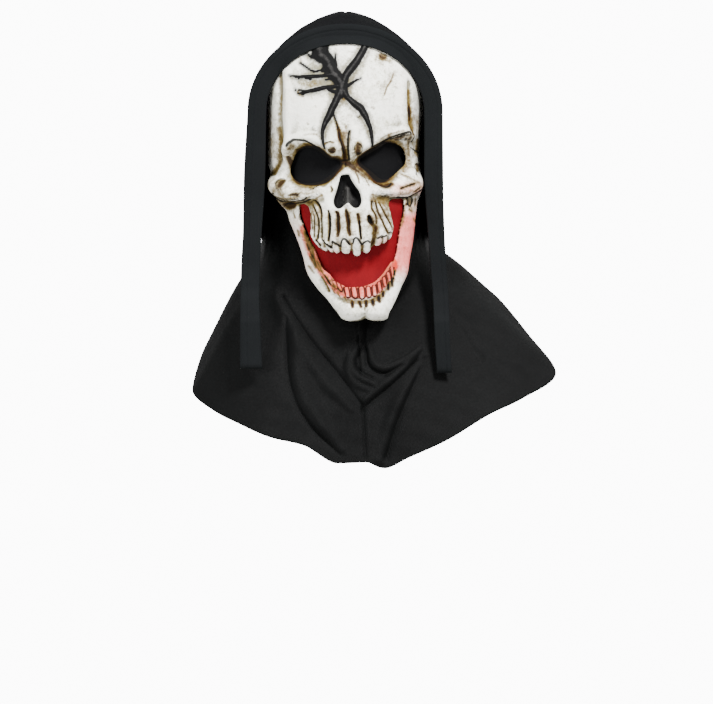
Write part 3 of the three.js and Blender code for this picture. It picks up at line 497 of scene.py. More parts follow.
# %% Strips and grooves
# name: (height in mm, [x, z, half width] along the line)
BONE_LINES = {
    "brow_left": (4.6, [[-60, 203, 6], [-50, 211, 6], [-38, 212, 6.5], [-26, 204, 6.5], [-14, 196, 6],
        [-5, 194, 5]]),
    "brow_right": (4.6, [[8, 195, 5], [20, 200, 6], [33, 208, 6.5], [46, 215, 6], [58, 219, 6],
        [66, 216, 5]]),
    "brow_crease_left": (-1.3, [[-57, 205, 1.6], [-48, 209.5, 1.8], [-37, 208.5, 1.8], [-28, 202, 1.6],
        [-18, 194.5, 1.4]]),
    "brow_crease_right": (-1.3, [[22, 199, 1.4], [36, 206.5, 1.8], [48, 214, 1.8], [60, 217.5, 1.6]]),
    "cheekbone_left": (6, [[-76, 171, 8], [-66, 161, 8], [-54, 157, 7], [-42, 157, 6.5], [-30, 160, 6]]),
    "cheekbone_right": (6, [[76, 174, 8], [70, 165, 8], [58, 161, 7], [44, 161, 6.5], [30, 162, 6]]),
    "cheek_ledge_left": (-2.4, [[-72, 158, 2.6], [-62, 152, 3], [-50, 148.5, 3], [-40, 148.5, 3],
        [-32, 152, 2.4]]),
    "cheek_ledge_right": (-2.4, [[34, 153, 2.4], [44, 155, 3], [60, 153.5, 3], [70, 158, 2.6]]),
    "temple_left": (-2.6, [[-65, 282, 2], [-64.6, 262, 4], [-65, 235, 4.5], [-64, 215, 4], [-65.5, 196, 4],
        [-71, 178, 3]]),
    "temple_ridge_left": (1.6, [[-58, 280, 4], [-57.5, 240, 5], [-58, 214, 4]]),
    "temple_right": (-2.6, [[64, 270, 2], [64.6, 250, 4], [66, 232, 4.5], [68, 219, 4], [72.5, 200, 3]]),
    "temple_ridge_right": (1.6, [[57, 270, 4], [57.5, 240, 5], [60, 222, 4]]),
    "frown_left": (-2.4, [[-10, 233, 0.8], [-6.2, 221, 1.6], [-3.4, 211, 2], [-1, 201, 2.2],
        [0.6, 193, 2.2]]),
    "frown_right": (-2.2, [[5, 221, 1.2], [4.2, 213, 1.6], [2.8, 204, 1.8], [2, 194, 2]]),
    "frown_fold_left": (1.6, [[-9, 222, 3], [-8, 210, 4], [-7, 200, 4]]),
    "frown_fold_right": (1.6, [[9.5, 222, 3], [9, 211, 4], [8.5, 201, 4]]),
    "nose_bridge": (2.6, [[1, 189, 4.5], [0, 182, 4.5], [-1, 177, 5]]),
    "nose_side_left": (2, [[-8, 176, 4], [-14, 164, 4.5], [-16, 152, 4.5], [-13, 142, 4]]),
    "nose_side_right": (2, [[7, 177, 4], [14, 167, 4.5], [20, 155, 4.5], [18, 143, 4]]),
    "nose_septum": (5.5, [[2.4, 163, 2.2], [2.8, 155, 2.6], [2.6, 148, 2.8]]),
    "eye_crease_right": (-1.2, [[30, 170, 1], [36, 167, 1.6], [42, 164.5, 1.6], [49, 167, 1]]),
    "cheek_cut_right": (-1.2, [[54, 163.5, 1], [61, 164.5, 1.4], [69, 168, 0.8]]),
    "root_1": (-3.0, [[-15.3, 141, 0.8], [-14, 137, 1.2], [-13.3, 130, 1.3], [-13.4, 121, 1.4],
        [-14.3, 112, 1.1]]),
    "root_2": (-3.6, [[-8, 140, 1], [-6.3, 137, 1.6], [-5.8, 131, 1.8], [-5.3, 125, 2], [-5.7, 118, 1.4]]),
    "root_3": (-3.6, [[1.3, 141, 1.1], [2.3, 137, 1.7], [3.6, 130, 1.9], [3.8, 123, 1.9],
        [5.3, 117.6, 1.5]]),
    "root_4": (-3.0, [[12.3, 137.4, 1.2], [13.3, 132.7, 1.4], [14.2, 126, 1.2], [15, 117.3, 1.1],
        [15.8, 113.4, 0.9]]),
    "root_5": (-5.4, [[23.4, 134.6, 2], [24.4, 130.6, 2.6], [28.4, 125, 2.8], [28.4, 119, 2.6],
        [27.3, 111, 2.2], [26.8, 106, 1.8]]),
    "root_left_1": (-2.8, [[-30, 151.3, 1], [-25.7, 146.7, 1.4], [-22.7, 140, 1.4], [-21.9, 134, 1.3],
        [-21.4, 124, 1.6], [-20.8, 115, 1.4]]),
    "root_left_2": (-2.5, [[-33.3, 146.7, 0.9], [-28, 139.3, 1.2], [-25, 132.7, 1.2], [-24.2, 125, 1.1],
        [-24.6, 115, 1]]),
    "root_left_3": (-2.1, [[-33.3, 142.7, 0.8], [-30, 136, 1.1], [-29, 129, 1], [-28.6, 116, 0.9]]),
    "root_left_4": (-1.8, [[-34.3, 138.7, 0.7], [-32.7, 132.7, 0.9], [-31.4, 124, 0.9]]),
    "root_right_1": (-2.7, [[25.7, 150, 0.9], [25.8, 143.3, 1], [29.3, 136.7, 1.2], [30, 129, 1]]),
    "root_right_2": (-2.7, [[30, 150.7, 0.9], [31.3, 142, 1.1], [34, 134.7, 1.2], [38.7, 124, 1.1],
        [40.6, 119.6, 0.8]]),
    "root_right_3": (-2.5, [[34, 149.3, 0.9], [36.7, 142.7, 1.1], [40, 136, 1.2], [44.7, 127.3, 1.1],
        [46, 122.4, 0.8]]),
    "upper_gum": (1.6, [[-30, 119, 5], [-14, 112, 5], [6, 117, 5], [22, 113, 5], [36, 119, 5],
        [45, 124, 4]]),
    "lower_gum": (-1.6, [[-25, 72, 2.4], [-17, 61, 2.6], [-6, 53, 2.6], [10, 49.6, 2.4], [24, 50, 2.4],
        [34, 54.6, 2.4], [44, 65, 2.2], [50, 80, 2]]),
    "lower_rim": (1.5, [[-22.6, 82, 2], [-15.2, 77, 2], [-10.6, 71, 2], [-2.3, 66.4, 1.8], [3.3, 64.6, 1.6],
        [15.3, 65, 1.6], [22, 66.4, 1.6], [29.3, 69.6, 1.8], [34.7, 74.4, 1.8], [38.7, 78.8, 1.8],
        [42, 83.4, 1.8], [46, 88.6, 1.5]]),
    "jaw_edge_left": (2.2, [[-56, 134, 5], [-49, 118, 5], [-43, 100, 5], [-37, 80, 5], [-24, 60, 5],
        [-10, 47, 5]]),
    "jaw_edge_right": (2.2, [[70, 134, 5], [66, 110, 5], [60, 86, 5], [53, 64, 5], [46, 46, 5]]),
    "jaw_joint_left": (2.4, [[-68, 152, 3.5], [-60, 147, 4], [-50, 141, 4]]),
    "jaw_joint_right": (2.2, [[61, 150, 3], [62, 138, 3.5], [66, 128, 4]]),
    "ramus_groove_left": (-1.8, [[-40, 118, 1.4], [-36, 108.6, 1.8], [-33, 98.6, 1.8], [-30.4, 86, 1.6]]),
    "ramus_cut_left": (-1.6, [[-24, 75, 1.2], [-20, 67.8, 1.6], [-16.6, 60.8, 1.3]]),
    "ramus_cut_left_2": (-1.6, [[-19.6, 76, 1.2], [-17.3, 71.4, 1.4], [-14.6, 67.4, 1.1]]),
    "chin_dimple": (-3, [[20.5, 30, 4], [20, 36, 3.5], [19.6, 44, 2]]),
}
print("strips and grooves:", len(BONE_LINES))

# %% Pads and pits
# name: (x, z, half width, half height, height in mm, flatness)
BONE_PADS = {
    "upper_jaw": (6, 128, 38, 26, 8, 2), "nose_root": (1, 190, 10, 9, -5.5, 1.2),
    "lobe_left": (-12, 204, 8, 10, 2.6, 1.2), "lobe_right": (14, 205, 8.5, 11, 2.6, 1.2),
    "lobe_pit_left": (-12.6, 201, 3.4, 3, -2, 1), "lobe_pit_right": (14.4, 202.5, 3.4, 4.6, -2.2, 1),
    "forehead_left": (-34, 245, 26, 26, 1.6, 1), "forehead_right": (36, 247, 26, 26, 1.6, 1),
    "chin_left": (5, 39, 12, 8, 3, 1.4), "chin_right": (33, 41, 12, 9, 3, 1.4),
    "cheek_pit_left": (-63.5, 169.5, 2.6, 4.2, -2.6, 1), "cheek_pit_low": (-48, 156.8, 4.4, 1.7, -2, 1),
    "cheek_pit_right": (72.4, 180, 1.8, 5, -2, 1), "joint_pit_left": (-55.6, 145.6, 5.6, 4, -4, 1.2),
    "joint_pit_right": (65.8, 150, 2.6, 4.6, -2.6, 1), "small_pit_1": (-34.5, 165.5, 4, 1.6, -1, 1),
    "small_pit_2": (-13.6, 161.5, 1.8, 2.4, -1, 1), "small_pit_3": (14.4, 234.6, 1.8, 1.4, -0.8, 1),
    "small_pit_4": (-31.8, 222, 3, 2.6, -0.6, 1), "small_pit_5": (-36.4, 227.4, 1.2, 1, -0.7, 1),
    "scar_pit": (37.6, 295, 4, 4, -1.2, 1), "cheek_hollow_right": (41, 149, 8, 3.6, -2.4, 1.2),
    "cheek_hollow_left": (-33, 147, 7, 5, -1.8, 1.2),
}
print("pads and pits:", len(BONE_PADS))

# %% [markdown]
# ## The black cracks
# On the real mask the cracks of the forehead are thick black veins that stand proud of the bone, with thin
# ones that branch off. Each vein is a line whose half width changes along it. The same lines raise the form
# here and place the black paint later, so that paint and form can't drift apart.

# %% Veins of the cracks
# [x, z, half width] along each vein
CRACKS = [
    [[-25.5, 304, 8.6], [-24, 297, 8.4], [-18, 292, 6.8], [-15, 285, 6.9], [-11.7, 279, 6.5],
        [-6.6, 273, 6.1], [-3.3, 267, 5.9], [-3.3, 261, 5.4], [-4, 256.6, 3.6]],
    [[-2, 268, 4.4], [0.9, 276, 4], [5.1, 282, 4.3], [9.9, 288, 4.3], [13.8, 294, 3.8], [17.4, 300, 3.7],
        [20, 305.4, 3.6], [22, 310, 3.6]],
    [[-4, 262, 4.6], [-7.2, 255, 3.7], [-9.9, 249, 3.7], [-12.9, 243, 3.6], [-15.2, 237, 3.4],
        [-18.6, 231, 2.9], [-21.2, 225, 2.2], [-22.5, 218, 1.7], [-21.8, 210, 1.3], [-20.6, 203.6, 0.8]],
    [[-1, 261, 4], [1.8, 255.4, 3], [5.4, 251.8, 3], [10.2, 247.4, 3.5], [15, 244, 3.7], [17.9, 239.6, 3.5],
        [20.6, 235, 2.9], [22.9, 229.2, 2.3], [25.2, 223.2, 2], [26.6, 214, 1.6], [27.6, 205.4, 1]],
    [[-8, 277, 2.6], [-15, 276.6, 2], [-21, 275.8, 1.9], [-30, 275.3, 1.9], [-39, 275, 1.7],
        [-46.2, 274.8, 1.3], [-54.8, 276.2, 0.6]],
    [[-45.4, 273.8, 1], [-46, 273.4, 0.9]], [[-38.6, 273.6, 1.4], [-34, 272.6, 1.2]],
    [[-6, 266, 2.6], [-10.8, 265.2, 1.9], [-18, 264.6, 1.9], [-23.4, 263.2, 2.2], [-30.6, 261.4, 2.2],
        [-37.2, 260.4, 1.5], [-42, 260.9, 0.9], [-45.6, 261.4, 0.8]],
    [[-35, 260.2, 1.3], [-38, 259.2, 1], [-41.4, 257.6, 1], [-46.8, 258.7, 0.6]],
    [[-48.6, 262, 0.9], [-48.7, 261.7, 0.8]],
    [[-18, 264, 1.4], [-15, 261.6, 1.7], [-9.6, 259.6, 2]],
    [[-18.9, 271.8, 1.3], [-17.6, 272, 1.2], [-14.6, 273, 1], [-11, 270.4, 1.2], [-8, 267.6, 1.6]],
    [[-17, 286.4, 0.9], [-21, 284, 0.8], [-24.6, 281.4, 0.9], [-30, 280.2, 1], [-34.2, 281.7, 0.9],
        [-39, 285, 0.8], [-44.6, 289, 0.6]],
    [[-16, 281.6, 1.2], [-21, 280.6, 1.1], [-25, 281, 0.9]], [[-14, 279, 1.2], [-20, 278.4, 0.8]],
    [[-25.4, 297, 1.6], [-30, 294.6, 1.2], [-33.8, 293.4, 0.8]],
    [[-30, 297.4, 1.6], [-34.4, 295.2, 0.9], [-37.4, 297.6, 0.7], [-41, 297, 0.6]],
    [[-17.4, 308, 0.6], [-17.3, 303, 0.7], [-17, 297, 1]],
    [[-9.5, 298, 0.4], [-9.6, 293, 0.9], [-9.2, 287, 1.8]],
    [[1, 265.4, 2], [4, 266.8, 1.6], [7.8, 269.4, 1.3], [12, 271.8, 0.9], [15.8, 273.4, 0.4]],
    [[-11.4, 238.4, 0.5], [-9, 231, 0.55], [-7.2, 223.2, 0.6]],
]
CRACKS = [smooth_line(line) for line in CRACKS]
print("veins:", len(CRACKS))


# %% The bell across a line
def bell(place, line, power=2, taper=0):
    """Across a line, exp(-(distance / half width)^power); far places are left at 0. With a taper it is lower
    where the line is narrow: times (half width / widest)^taper."""
    reach = 3 * line[:, 2].max()
    near = ((place > line[:, :2].min(0) - reach) & (place < line[:, :2].max(0) + reach)).all(-1)
    value = np.zeros(place.shape[:-1])
    off, spot = nearest_on(line, place[near])
    value[near] = np.exp(-((off / spot[..., 2]) ** power)) * (spot[..., 2] / line[:, 2].max()) ** taper
    return value


def crack_cover(place):
    """1 on the veins and 0 past their half widths, with a second value that is 1 only on their middles."""
    cover = np.zeros(place.shape[:-1])
    core = np.zeros(place.shape[:-1])
    for line in CRACKS:
        cover = np.maximum(cover, bell(place, line * [1, 1, 1.15], 4))
        core = np.maximum(core, bell(place, line * [1, 1, 0.5]) * ease(line[:, 2].max(), 1.2, 3))
    return cover, core


# %% [markdown]
# ## Grid of the face
# The shell is one grid of about fifty thousand cells. Its columns are closer together in the middle of the
# face, and its rows from the chin to the brows, where the teeth are only six millimetres wide.

# %% Lay out the grid
COLUMNS, LOW_ROWS, HIGH_ROWS = 212, 196, 62
side = np.linspace(-1, 1, COLUMNS)
turn_of_column = np.pi / 2 * (0.76 * side + 0.24 * side**3)
up_of_row = np.concatenate([np.linspace(0, 0.66, LOW_ROWS), np.linspace(0.66, 1, HIGH_ROWS)[1:]])
TURN, UP = np.meshgrid(turn_of_column, up_of_row)
form, out = dome(TURN, UP), dome_normal(TURN, UP)
place = drawn(form)
print("grid of the face:", TURN.shape)

# %% Raise the bone, the teeth and the cracks
bone = np.zeros(TURN.shape)
for height, line in BONE_LINES.values():
    bone += height * bell(place, smooth_line(line))
for x, z, half_x, half_z, height, flat in BONE_PADS.values():
    spread = ((place[..., 0] - x) / half_x) ** 2 + ((place[..., 1] - z) / half_z) ** 2
    bone += height * np.exp(-(spread**flat))
crown = np.max([bell(place, np.array(line, float), 4) for line in CROWNS], 0)
low_crown = np.where(place[..., 1] < 88, crown, 0)
bone += 2.2 * crown
crack, crack_core = crack_cover(place)
bone += 1.5 * crack + 1.1 * crack_core
print("highest, mm:", round(float(bone.max()), 1))

# %% [markdown]
# ## Edges of the holes
# A real mask's openings are trimmed in sockets: the plastic turns inwards before it ends. So the surface
# sinks towards each outline, by a bell of the distance to it. The rim of the whole face stays on the dome.

# %% Sink the sockets, the nose and the lips
eye_off = {}
for name, hole in EYE_HOLES.items():
    off = nearest_on(closed(hole), place)[0] * np.where(inside(hole, place), -1, 1)
    eye_off[name] = off
    bone -= 10 * np.exp(-((np.maximum(off, 0) / 7.5) ** 2))
eye_near = np.minimum(eye_off["left"], eye_off["right"])
nose_in = nearest_on(closed(NOSE), place)[0] * np.where(inside(NOSE, place), 1, -1)
septum = bell(place, smooth_line(BONE_LINES["nose_septum"][1]))
bone -= (10 - 4 * septum) * ease(nose_in, -1.6, 2.6)
mouth_off = nearest_on(closed(MOUTH), place)[0] * np.where(inside(MOUTH, place), -1, 1)
bone -= 1.6 * np.exp(-((np.maximum(mouth_off, 0) / 1.8) ** 2))
bone = np.maximum(bone, -10)
fade = ease(np.cos(TURN), 0, 0.42)
shell = form + out * (bone * fade / 1000)[..., None]
print("bone, mm:", round(float(bone.min()), 1), "to", round(float(bone.max()), 1))

# %% [markdown]
# ## Paint
# The shell is moulded off-white and painted by hand in nine layers. Brown wash is brushed on and wiped off,
# so it stays in pits and grooves. It is drawn here as strokes: lines on the front drawing, each with a
# strength.

# %% Strokes of brown wash
# strength, [x, z, half width] along the stroke
WASH_STROKES = [
    (0.62, [[-67, 224, 1.8], [-65.6, 213, 2.4], [-65, 205, 2.4], [-66.6, 196, 2.4], [-67.4, 189, 2.2],
        [-70, 182, 2], [-74, 176, 1.5]]),
    (0.5, [[-64.4, 215, 1], [-63, 206, 1.2], [-64.6, 198, 1.2], [-65, 190, 1], [-68.4, 182, 0.9]]),
    (0.36, [[-66, 276, 1.6], [-65.6, 252, 1.8], [-66.4, 232, 1.8]]),
    (0.4, [[-73, 214, 4], [-73, 198, 4.4]]),
    (0.6, [[64.6, 262, 1.3], [64.8, 250, 2], [65.4, 240, 2.6], [66.2, 230, 2], [67.8, 219, 1.4],
        [67.4, 211, 1.6]]),
    (0.95, [[65, 246, 1], [65.6, 239, 1.5], [66.2, 232, 1]]), (0.95, [[66.7, 222, 1.2], [66.7, 218, 1.2]]),
    (0.68, [[-42, 207.4, 2], [-36, 206.8, 2.4], [-30, 204.4, 2.4], [-24, 199.8, 1.5]]),
    (0.6, [[-56, 203, 2], [-52.6, 206.4, 2]]),
    (0.9, [[-58.6, 194, 1.6], [-57.6, 184, 1.8], [-55.6, 175, 1.6], [-49, 168.6, 1.4]]),
    (0.92, [[-50.6, 200, 1.9], [-52.9, 193, 2]]),
    (0.95, [[-5.4, 188.6, 2], [-8.4, 184.6, 1.8], [-11, 181, 1.2]]),
    (0.8, [[-4, 185, 2], [-8.6, 180, 1.8]]),
    (0.6, [[-19.7, 208.4, 1.1], [-15, 209.9, 1.1], [-11.4, 209.4, 1]]),
    (0.8, [[-13.6, 201.6, 3.2], [-12.4, 202, 3]]), (1.0, [[-13.4, 200.6, 1.9], [-12.2, 200.8, 1.9]]),
    (0.95, [[-8.6, 230, 0.5], [-6.3, 221, 1.5], [-5, 213.3, 1.7], [-2.3, 207.3, 1.7], [-1, 200, 1.9],
        [-0.3, 193.3, 2]]),
    (0.55, [[-1.7, 219, 2.2], [-0.6, 212, 2.6], [1.2, 202, 2.8], [1.8, 195, 3]]),
    (0.7, [[13, 206.6, 3.2], [13.2, 201.6, 3.6]]), (1.0, [[13, 200.6, 2.6], [13.4, 198.8, 2.2]]),
    (0.72, [[4.6, 188.6, 3], [8.6, 187.6, 4.4], [13, 187, 2.6]]),
    (0.7, [[14.6, 184.4, 2.6], [20, 180.6, 2.8], [26, 176.2, 2.6], [31.4, 172.4, 1.4]]),
    (0.9, [[6, 186, 1], [10.6, 182.6, 1.2], [14.6, 180.4, 1]]),
    (0.7, [[10.6, 181, 1.1], [13, 174.6, 1], [14, 168.9, 0.7]]),
    (0.6, [[19.3, 177, 0.9], [22, 171.4, 0.9], [24.2, 166.4, 0.6]]),
    (0.5, [[26, 172, 0.9], [29, 167.6, 0.7]]),
    (0.6, [[40, 212.4, 1.8], [46, 212, 1.8], [52, 213.4, 1.6], [58, 214.6, 1.6]]),
    (0.62, [[56, 208, 2.4], [61, 203, 2.6], [63.4, 196, 2]]),
    (0.92, [[59.4, 203.4, 1.5], [62.4, 195.6, 1.7], [61.6, 188, 1.5]]),
    (0.55, [[17, 195.6, 1.2], [27, 201.8, 1.2], [35, 206.6, 1.2]]),
    (0.8, [[30, 173, 1.6], [35, 168.6, 2.4], [41, 166, 2.8], [48, 168.6, 2]]),
    (0.5, [[38, 171, 1.6], [47, 172.6, 1.6]]),
    (0.7, [[53.3, 163.3, 1.3], [60, 166, 1.5], [66.7, 168, 1.1]]),
    (0.6, [[64.7, 161.3, 1], [70, 164.7, 0.9]]),
    (0.62, [[72.3, 188, 1.2], [72.3, 181.4, 1.6]]), (0.55, [[72.6, 196, 1.2], [73, 212, 1.4]]),
    (0.58, [[27, 152.6, 3.4], [34, 153.2, 3.8], [42, 152.6, 3.2]]),
    (0.5, [[38, 149.4, 2.6], [41.6, 141, 2.8], [45, 132, 2.2]]),
    (0.85, [[-63.7, 170.6, 2.4], [-63.7, 166.6, 2.4]]), (0.8, [[-51.4, 158.5, 1.4], [-45.4, 158, 1.4]]),
    (0.55, [[-37.4, 163.6, 1.5], [-32.6, 163.2, 1.3]]),
    (0.6, [[-14, 165.4, 1.2], [-12.6, 162.6, 1.2], [-13.4, 160.4, 1]]),
    (0.5, [[-60.3, 156.7, 0.9], [-53.7, 154.8, 0.8]]),
    (0.6, [[-73, 160.6, 1.6], [-66, 153.4, 1.8], [-57, 149.4, 2], [-47, 149.4, 2], [-40, 150.4, 2]]),
    (0.62, [[-38.6, 148.6, 2.4], [-35.6, 148.6, 2.6], [-33, 147.6, 2]]),
    (0.98, [[-59, 147.4, 2.4], [-55.7, 146.4, 3.6], [-52, 146, 2.4]]),
    (0.5, [[-50, 142, 1], [-49.6, 134, 0.9]]), (0.6, [[-28, 153.6, 1.4], [-23, 157, 1.2]]),
    (0.8, [[61, 147.6, 1.2], [62.2, 153.4, 1.2]]), (0.55, [[70, 153, 1], [70, 147, 0.9]]),
    (0.55, [[66.7, 133, 1.6], [68.7, 128.6, 1.3]]),
    (0.5, [[59.4, 143.6, 1.2], [58.6, 134, 1], [57, 126, 0.9]]), (0.6, [[63, 143, 1.4], [66, 141, 1.2]]),
    (0.75, [[35.4, 296.6, 2.2], [37.6, 294.6, 2.6], [40.4, 295, 1.8]]),
    (0.42, [[32, 299, 3], [38, 295, 6.6], [44, 292, 3]]), (0.4, [[31.8, 297, 1.4], [31, 291, 1]]),
    (0.6, [[47.9, 277, 0.8], [45.3, 270.5, 1.1], [41.4, 264, 1], [38.8, 256.4, 0.7]]),
    (0.38, [[36, 262, 2.6], [44, 272, 3.6], [50, 280, 2.6]]),
    (0.34, [[26.4, 243.6, 1.2], [29, 243.2, 1.2]]), (0.55, [[-37.4, 229, 0.9], [-37, 228.4, 0.9]]),
    (0.34, [[-22.6, 239, 1], [-21.8, 238.4, 1]]),
    (0.34, [[-29.4, 246, 1], [-28, 244.4, 0.9]]), (0.36, [[-46.6, 293, 2.4], [-43.6, 292, 2.4]]),
    (0.34, [[-44, 268, 3], [-28, 268, 3.6]]),
    (0.5, [[-46.6, 262.4, 0.8], [-46.2, 257.6, 0.9], [-41, 255.4, 0.8]]),
    (0.5, [[-2.8, 256, 1.6], [0, 252, 1.2]]),
    (0.75, [[-15, 141, 1.1], [-13.8, 131, 1.3], [-13.6, 121, 1.2], [-14.3, 113, 1]]),
    (0.9, [[-8, 140, 1], [-6.3, 137.7, 1.6], [-5.9, 131, 1.8], [-5.3, 124, 1.8], [-5.7, 117, 1.2]]),
    (0.88, [[1.3, 141.3, 1.2], [2.3, 137.3, 2], [3.7, 130, 2.1], [3.8, 123.3, 1.8], [5.3, 117.6, 1.2]]),
    (0.82, [[12.3, 137.4, 1.3], [13.3, 132, 1.5], [14.7, 122, 1], [15.6, 114, 0.9]]),
    (1.0, [[22.8, 135, 1.8], [24, 131.6, 2.6], [26, 128.4, 2]]),
    (0.72, [[26, 128, 2.4], [29.3, 124, 2.6], [28.7, 118, 2.6], [27.3, 111, 2.4], [26.7, 107, 1.8]]),
    (0.7, [[25.7, 150, 1], [26, 143, 1.1], [29.3, 136.7, 1.2], [30, 130, 1]]),
    (0.7, [[30, 150.7, 1], [31.3, 142, 1.2], [34, 134.7, 1.2], [38.7, 124, 1.2], [40.7, 119.3, 0.9]]),
    (0.7, [[34, 149.3, 1], [36.7, 142.7, 1.2], [40, 136, 1.4], [44.7, 127.3, 1.2], [46, 122, 0.9]]),
    (0.62, [[44.8, 150, 1.4], [46, 141, 1.5], [47, 133, 1.2]]),
    (0.75, [[-30, 151.3, 1.1], [-25.7, 146.7, 1.5], [-22.7, 140, 1.5], [-22, 134, 1.2]]),
    (0.45, [[-21.6, 132, 1.6], [-21, 124, 1.8], [-20.6, 116, 1.6]]),
    (0.7, [[-33.3, 146.7, 1], [-28, 139.3, 1.2], [-25, 132.7, 1.1], [-24.4, 124, 0.9], [-25, 115, 0.8]]),
    (0.6, [[-34, 141, 0.9], [-30, 136, 1], [-29.2, 128, 0.9], [-28.4, 117, 0.8]]),
    (0.6, [[-34.3, 138.7, 0.9], [-32.7, 132.7, 0.9], [-31.3, 124, 0.8]]),
    (0.55, [[-18.6, 112.4, 1.5], [-18.4, 106, 1.4]]), (0.5, [[-23.6, 112, 1.1], [-23.4, 106.4, 1]]),
    (0.66, [[6.9, 109, 1.1], [7, 103, 1.2]]), (0.66, [[16.5, 107.4, 1.4], [16.8, 102.4, 1.4]]),
    (0.6, [[-3, 106, 1], [-4.2, 102.6, 0.8]]),
    (0.95, [[7, 49.6, 1.7], [8, 45.2, 1.2]]), (0.95, [[14.5, 49.8, 1.8], [16, 45.4, 1.2]]),
    (0.95, [[21.1, 50.4, 1.9], [21.2, 46.2, 1.4]]), (1.0, [[27.8, 51.4, 2], [27.8, 47.2, 1.4]]),
    (1.0, [[34.2, 55, 2], [34, 50.4, 1.4]]), (0.9, [[38.7, 59.8, 1.6], [38.4, 56, 1.1]]),
    (0.9, [[44, 67.4, 1.6], [43.8, 62.8, 1.2]]), (0.8, [[47.5, 72.4, 1.3], [47.2, 66, 1.1]]),
    (0.6, [[48.9, 75, 0.9], [48.8, 72.6, 0.8]]), (0.7, [[50, 81, 1.1], [49.8, 76.7, 0.8]]),
    (0.35, [[21.4, 44, 1.6], [21.8, 39.6, 1.4]]), (0.3, [[19.6, 36, 1], [20, 31, 0.9]]),
    (0.62, [[-23.7, 74.8, 1.2], [-19.9, 67.7, 1.4], [-16.7, 60.7, 1.1]]),
    (0.55, [[-7.7, 60.2, 1.1], [-5.5, 54.9, 0.9]]), (0.5, [[-0.7, 54.9, 1], [1.4, 50.6, 0.8]]),
    (0.62, [[-34.3, 95.4, 1.1], [-31.7, 89, 1.2], [-29, 84.2, 0.9]]),
    (0.5, [[-35.4, 86.3, 1.1], [-30.6, 78.9, 0.9]]),
    (0.6, [[-36, 110, 1.2], [-33, 97.6, 1.3], [-30, 85.3, 1]]),
    (0.5, [[-46, 122, 1.2], [-44.4, 116, 1.1]]), (0.5, [[-12.6, 63.4, 1.1], [-10.4, 58.6, 0.8]]),
    (0.46, [[30, 205.6, 2], [40, 212, 3], [50, 215, 3.4], [60, 215.6, 3.4], [66, 208, 3]]),
    (0.5, [[65, 204, 3], [66, 192, 3.4], [63, 182, 2.6]]),
    (0.9, [[-2, 190, 2], [4, 188, 3], [9.6, 184.6, 3]]),
    (0.62, [[8, 186, 4], [17, 180, 4], [26, 174.6, 3]]),
    (0.44, [[1, 226, 1], [0.8, 214, 4], [1.4, 200, 4.6]]),
    (0.44, [[-72, 158, 3], [-62, 150.6, 3.4], [-50, 149.6, 3.6], [-38, 149, 4], [-31, 151, 3]]),
    (0.5, [[-66, 163.6, 3], [-58, 158.4, 3]]),
    (0.42, [[40, 148, 4], [43, 138, 4], [46, 128, 3]]),
    (0.42, [[24, 128, 4], [27.6, 116, 4.4], [27, 107, 3]]),
    (0.4, [[-30, 146, 4], [-26, 134, 4], [-24, 120, 3.6]]),
    (0.42, [[4, 140, 3], [4, 124, 3.4], [6, 110, 3]]),
    (0.42, [[-7, 139, 3], [-5.8, 126, 3.4], [-5, 108, 3]]),
    (0.4, [[14, 136, 3], [15, 122, 3], [16.4, 106, 3]]),
    (0.4, [[-14.6, 140, 2.6], [-13.6, 126, 3], [-14, 108, 2.6]]),
    (0.42, [[52, 158.6, 2.6], [62, 160.4, 3], [72, 166, 3]]),
    (0.44, [[-52, 206, 3], [-56.6, 198, 3.4], [-58.6, 186, 3]]),
    (0.46, [[-46, 207, 2.4], [-36, 207.6, 3], [-26, 202.6, 3]]),
    (0.4, [[-48, 163, 5], [-36, 162, 5], [-26, 160, 4]]), (0.4, [[66, 240, 4], [66.6, 224, 4]]),
    (0.44, [[63, 150, 4], [66, 144, 4]]), (0.4, [[-70, 172, 4], [-74, 164, 4]]),
    (0.6, [[-38, 112, 1.1], [-34.6, 101, 1.3], [-30.6, 90, 1.2], [-25.6, 81, 1]]),
    (0.62, [[-41, 122, 1.2], [-38.6, 112, 1.4], [-35.6, 102, 1.2]]),
    (0.62, [[-28.6, 91, 1], [-23.6, 81.6, 1.2], [-17, 73.6, 1.2]]),
    (0.6, [[-21, 78, 1], [-15.6, 70, 1.2], [-10, 64, 1]]),
    (0.5, [[-14, 72, 1], [-8.6, 66, 1.1], [-4, 61.6, 0.9]]),
    (0.6, [[33, 207, 0.9], [42, 210.4, 1], [52, 209.6, 1], [59, 205, 1]]),
    (0.55, [[46, 209.6, 1.2], [56, 206.4, 1.2], [61.4, 199.6, 1.2]]),
    (0.5, [[36, 213.6, 0.9], [46, 218.4, 1], [56, 221.6, 0.9]]),
    (0.6, [[62.6, 222, 1], [63.4, 213, 1.2], [66, 205, 1.2], [67.6, 196, 1]]),
    (0.5, [[60, 178, 1.6], [66, 172, 1.6], [70, 168, 1.2]]),
    (0.6, [[-75, 168, 1], [-69.6, 160.4, 1.2], [-62, 155.6, 1.2], [-52, 154.6, 1.1], [-43, 156, 1]]),
    (0.6, [[-72, 156.6, 1], [-65, 149.4, 1.2], [-58, 146.6, 1.1]]),
    (0.55, [[-60, 152.6, 1], [-50, 150.6, 1.2], [-42, 151.4, 1.2], [-34, 155.4, 1]]),
    (0.5, [[-44, 160, 1], [-36, 158.6, 1.1], [-27, 161.6, 0.9]]),
    (0.24, [[-24, 69, 1.6], [-16, 59.6, 2], [-6, 51.6, 2.2], [10, 48, 2.4], [24, 48.6, 2.4],
        [35, 53.6, 2.4], [44, 64, 2], [49, 76, 1.6]]),
    (0.3, [[-12, 73, 1.2], [-2.3, 67.4, 1.2], [10, 65.6, 1.2], [22, 67, 1.2], [34.7, 74.4, 1.6],
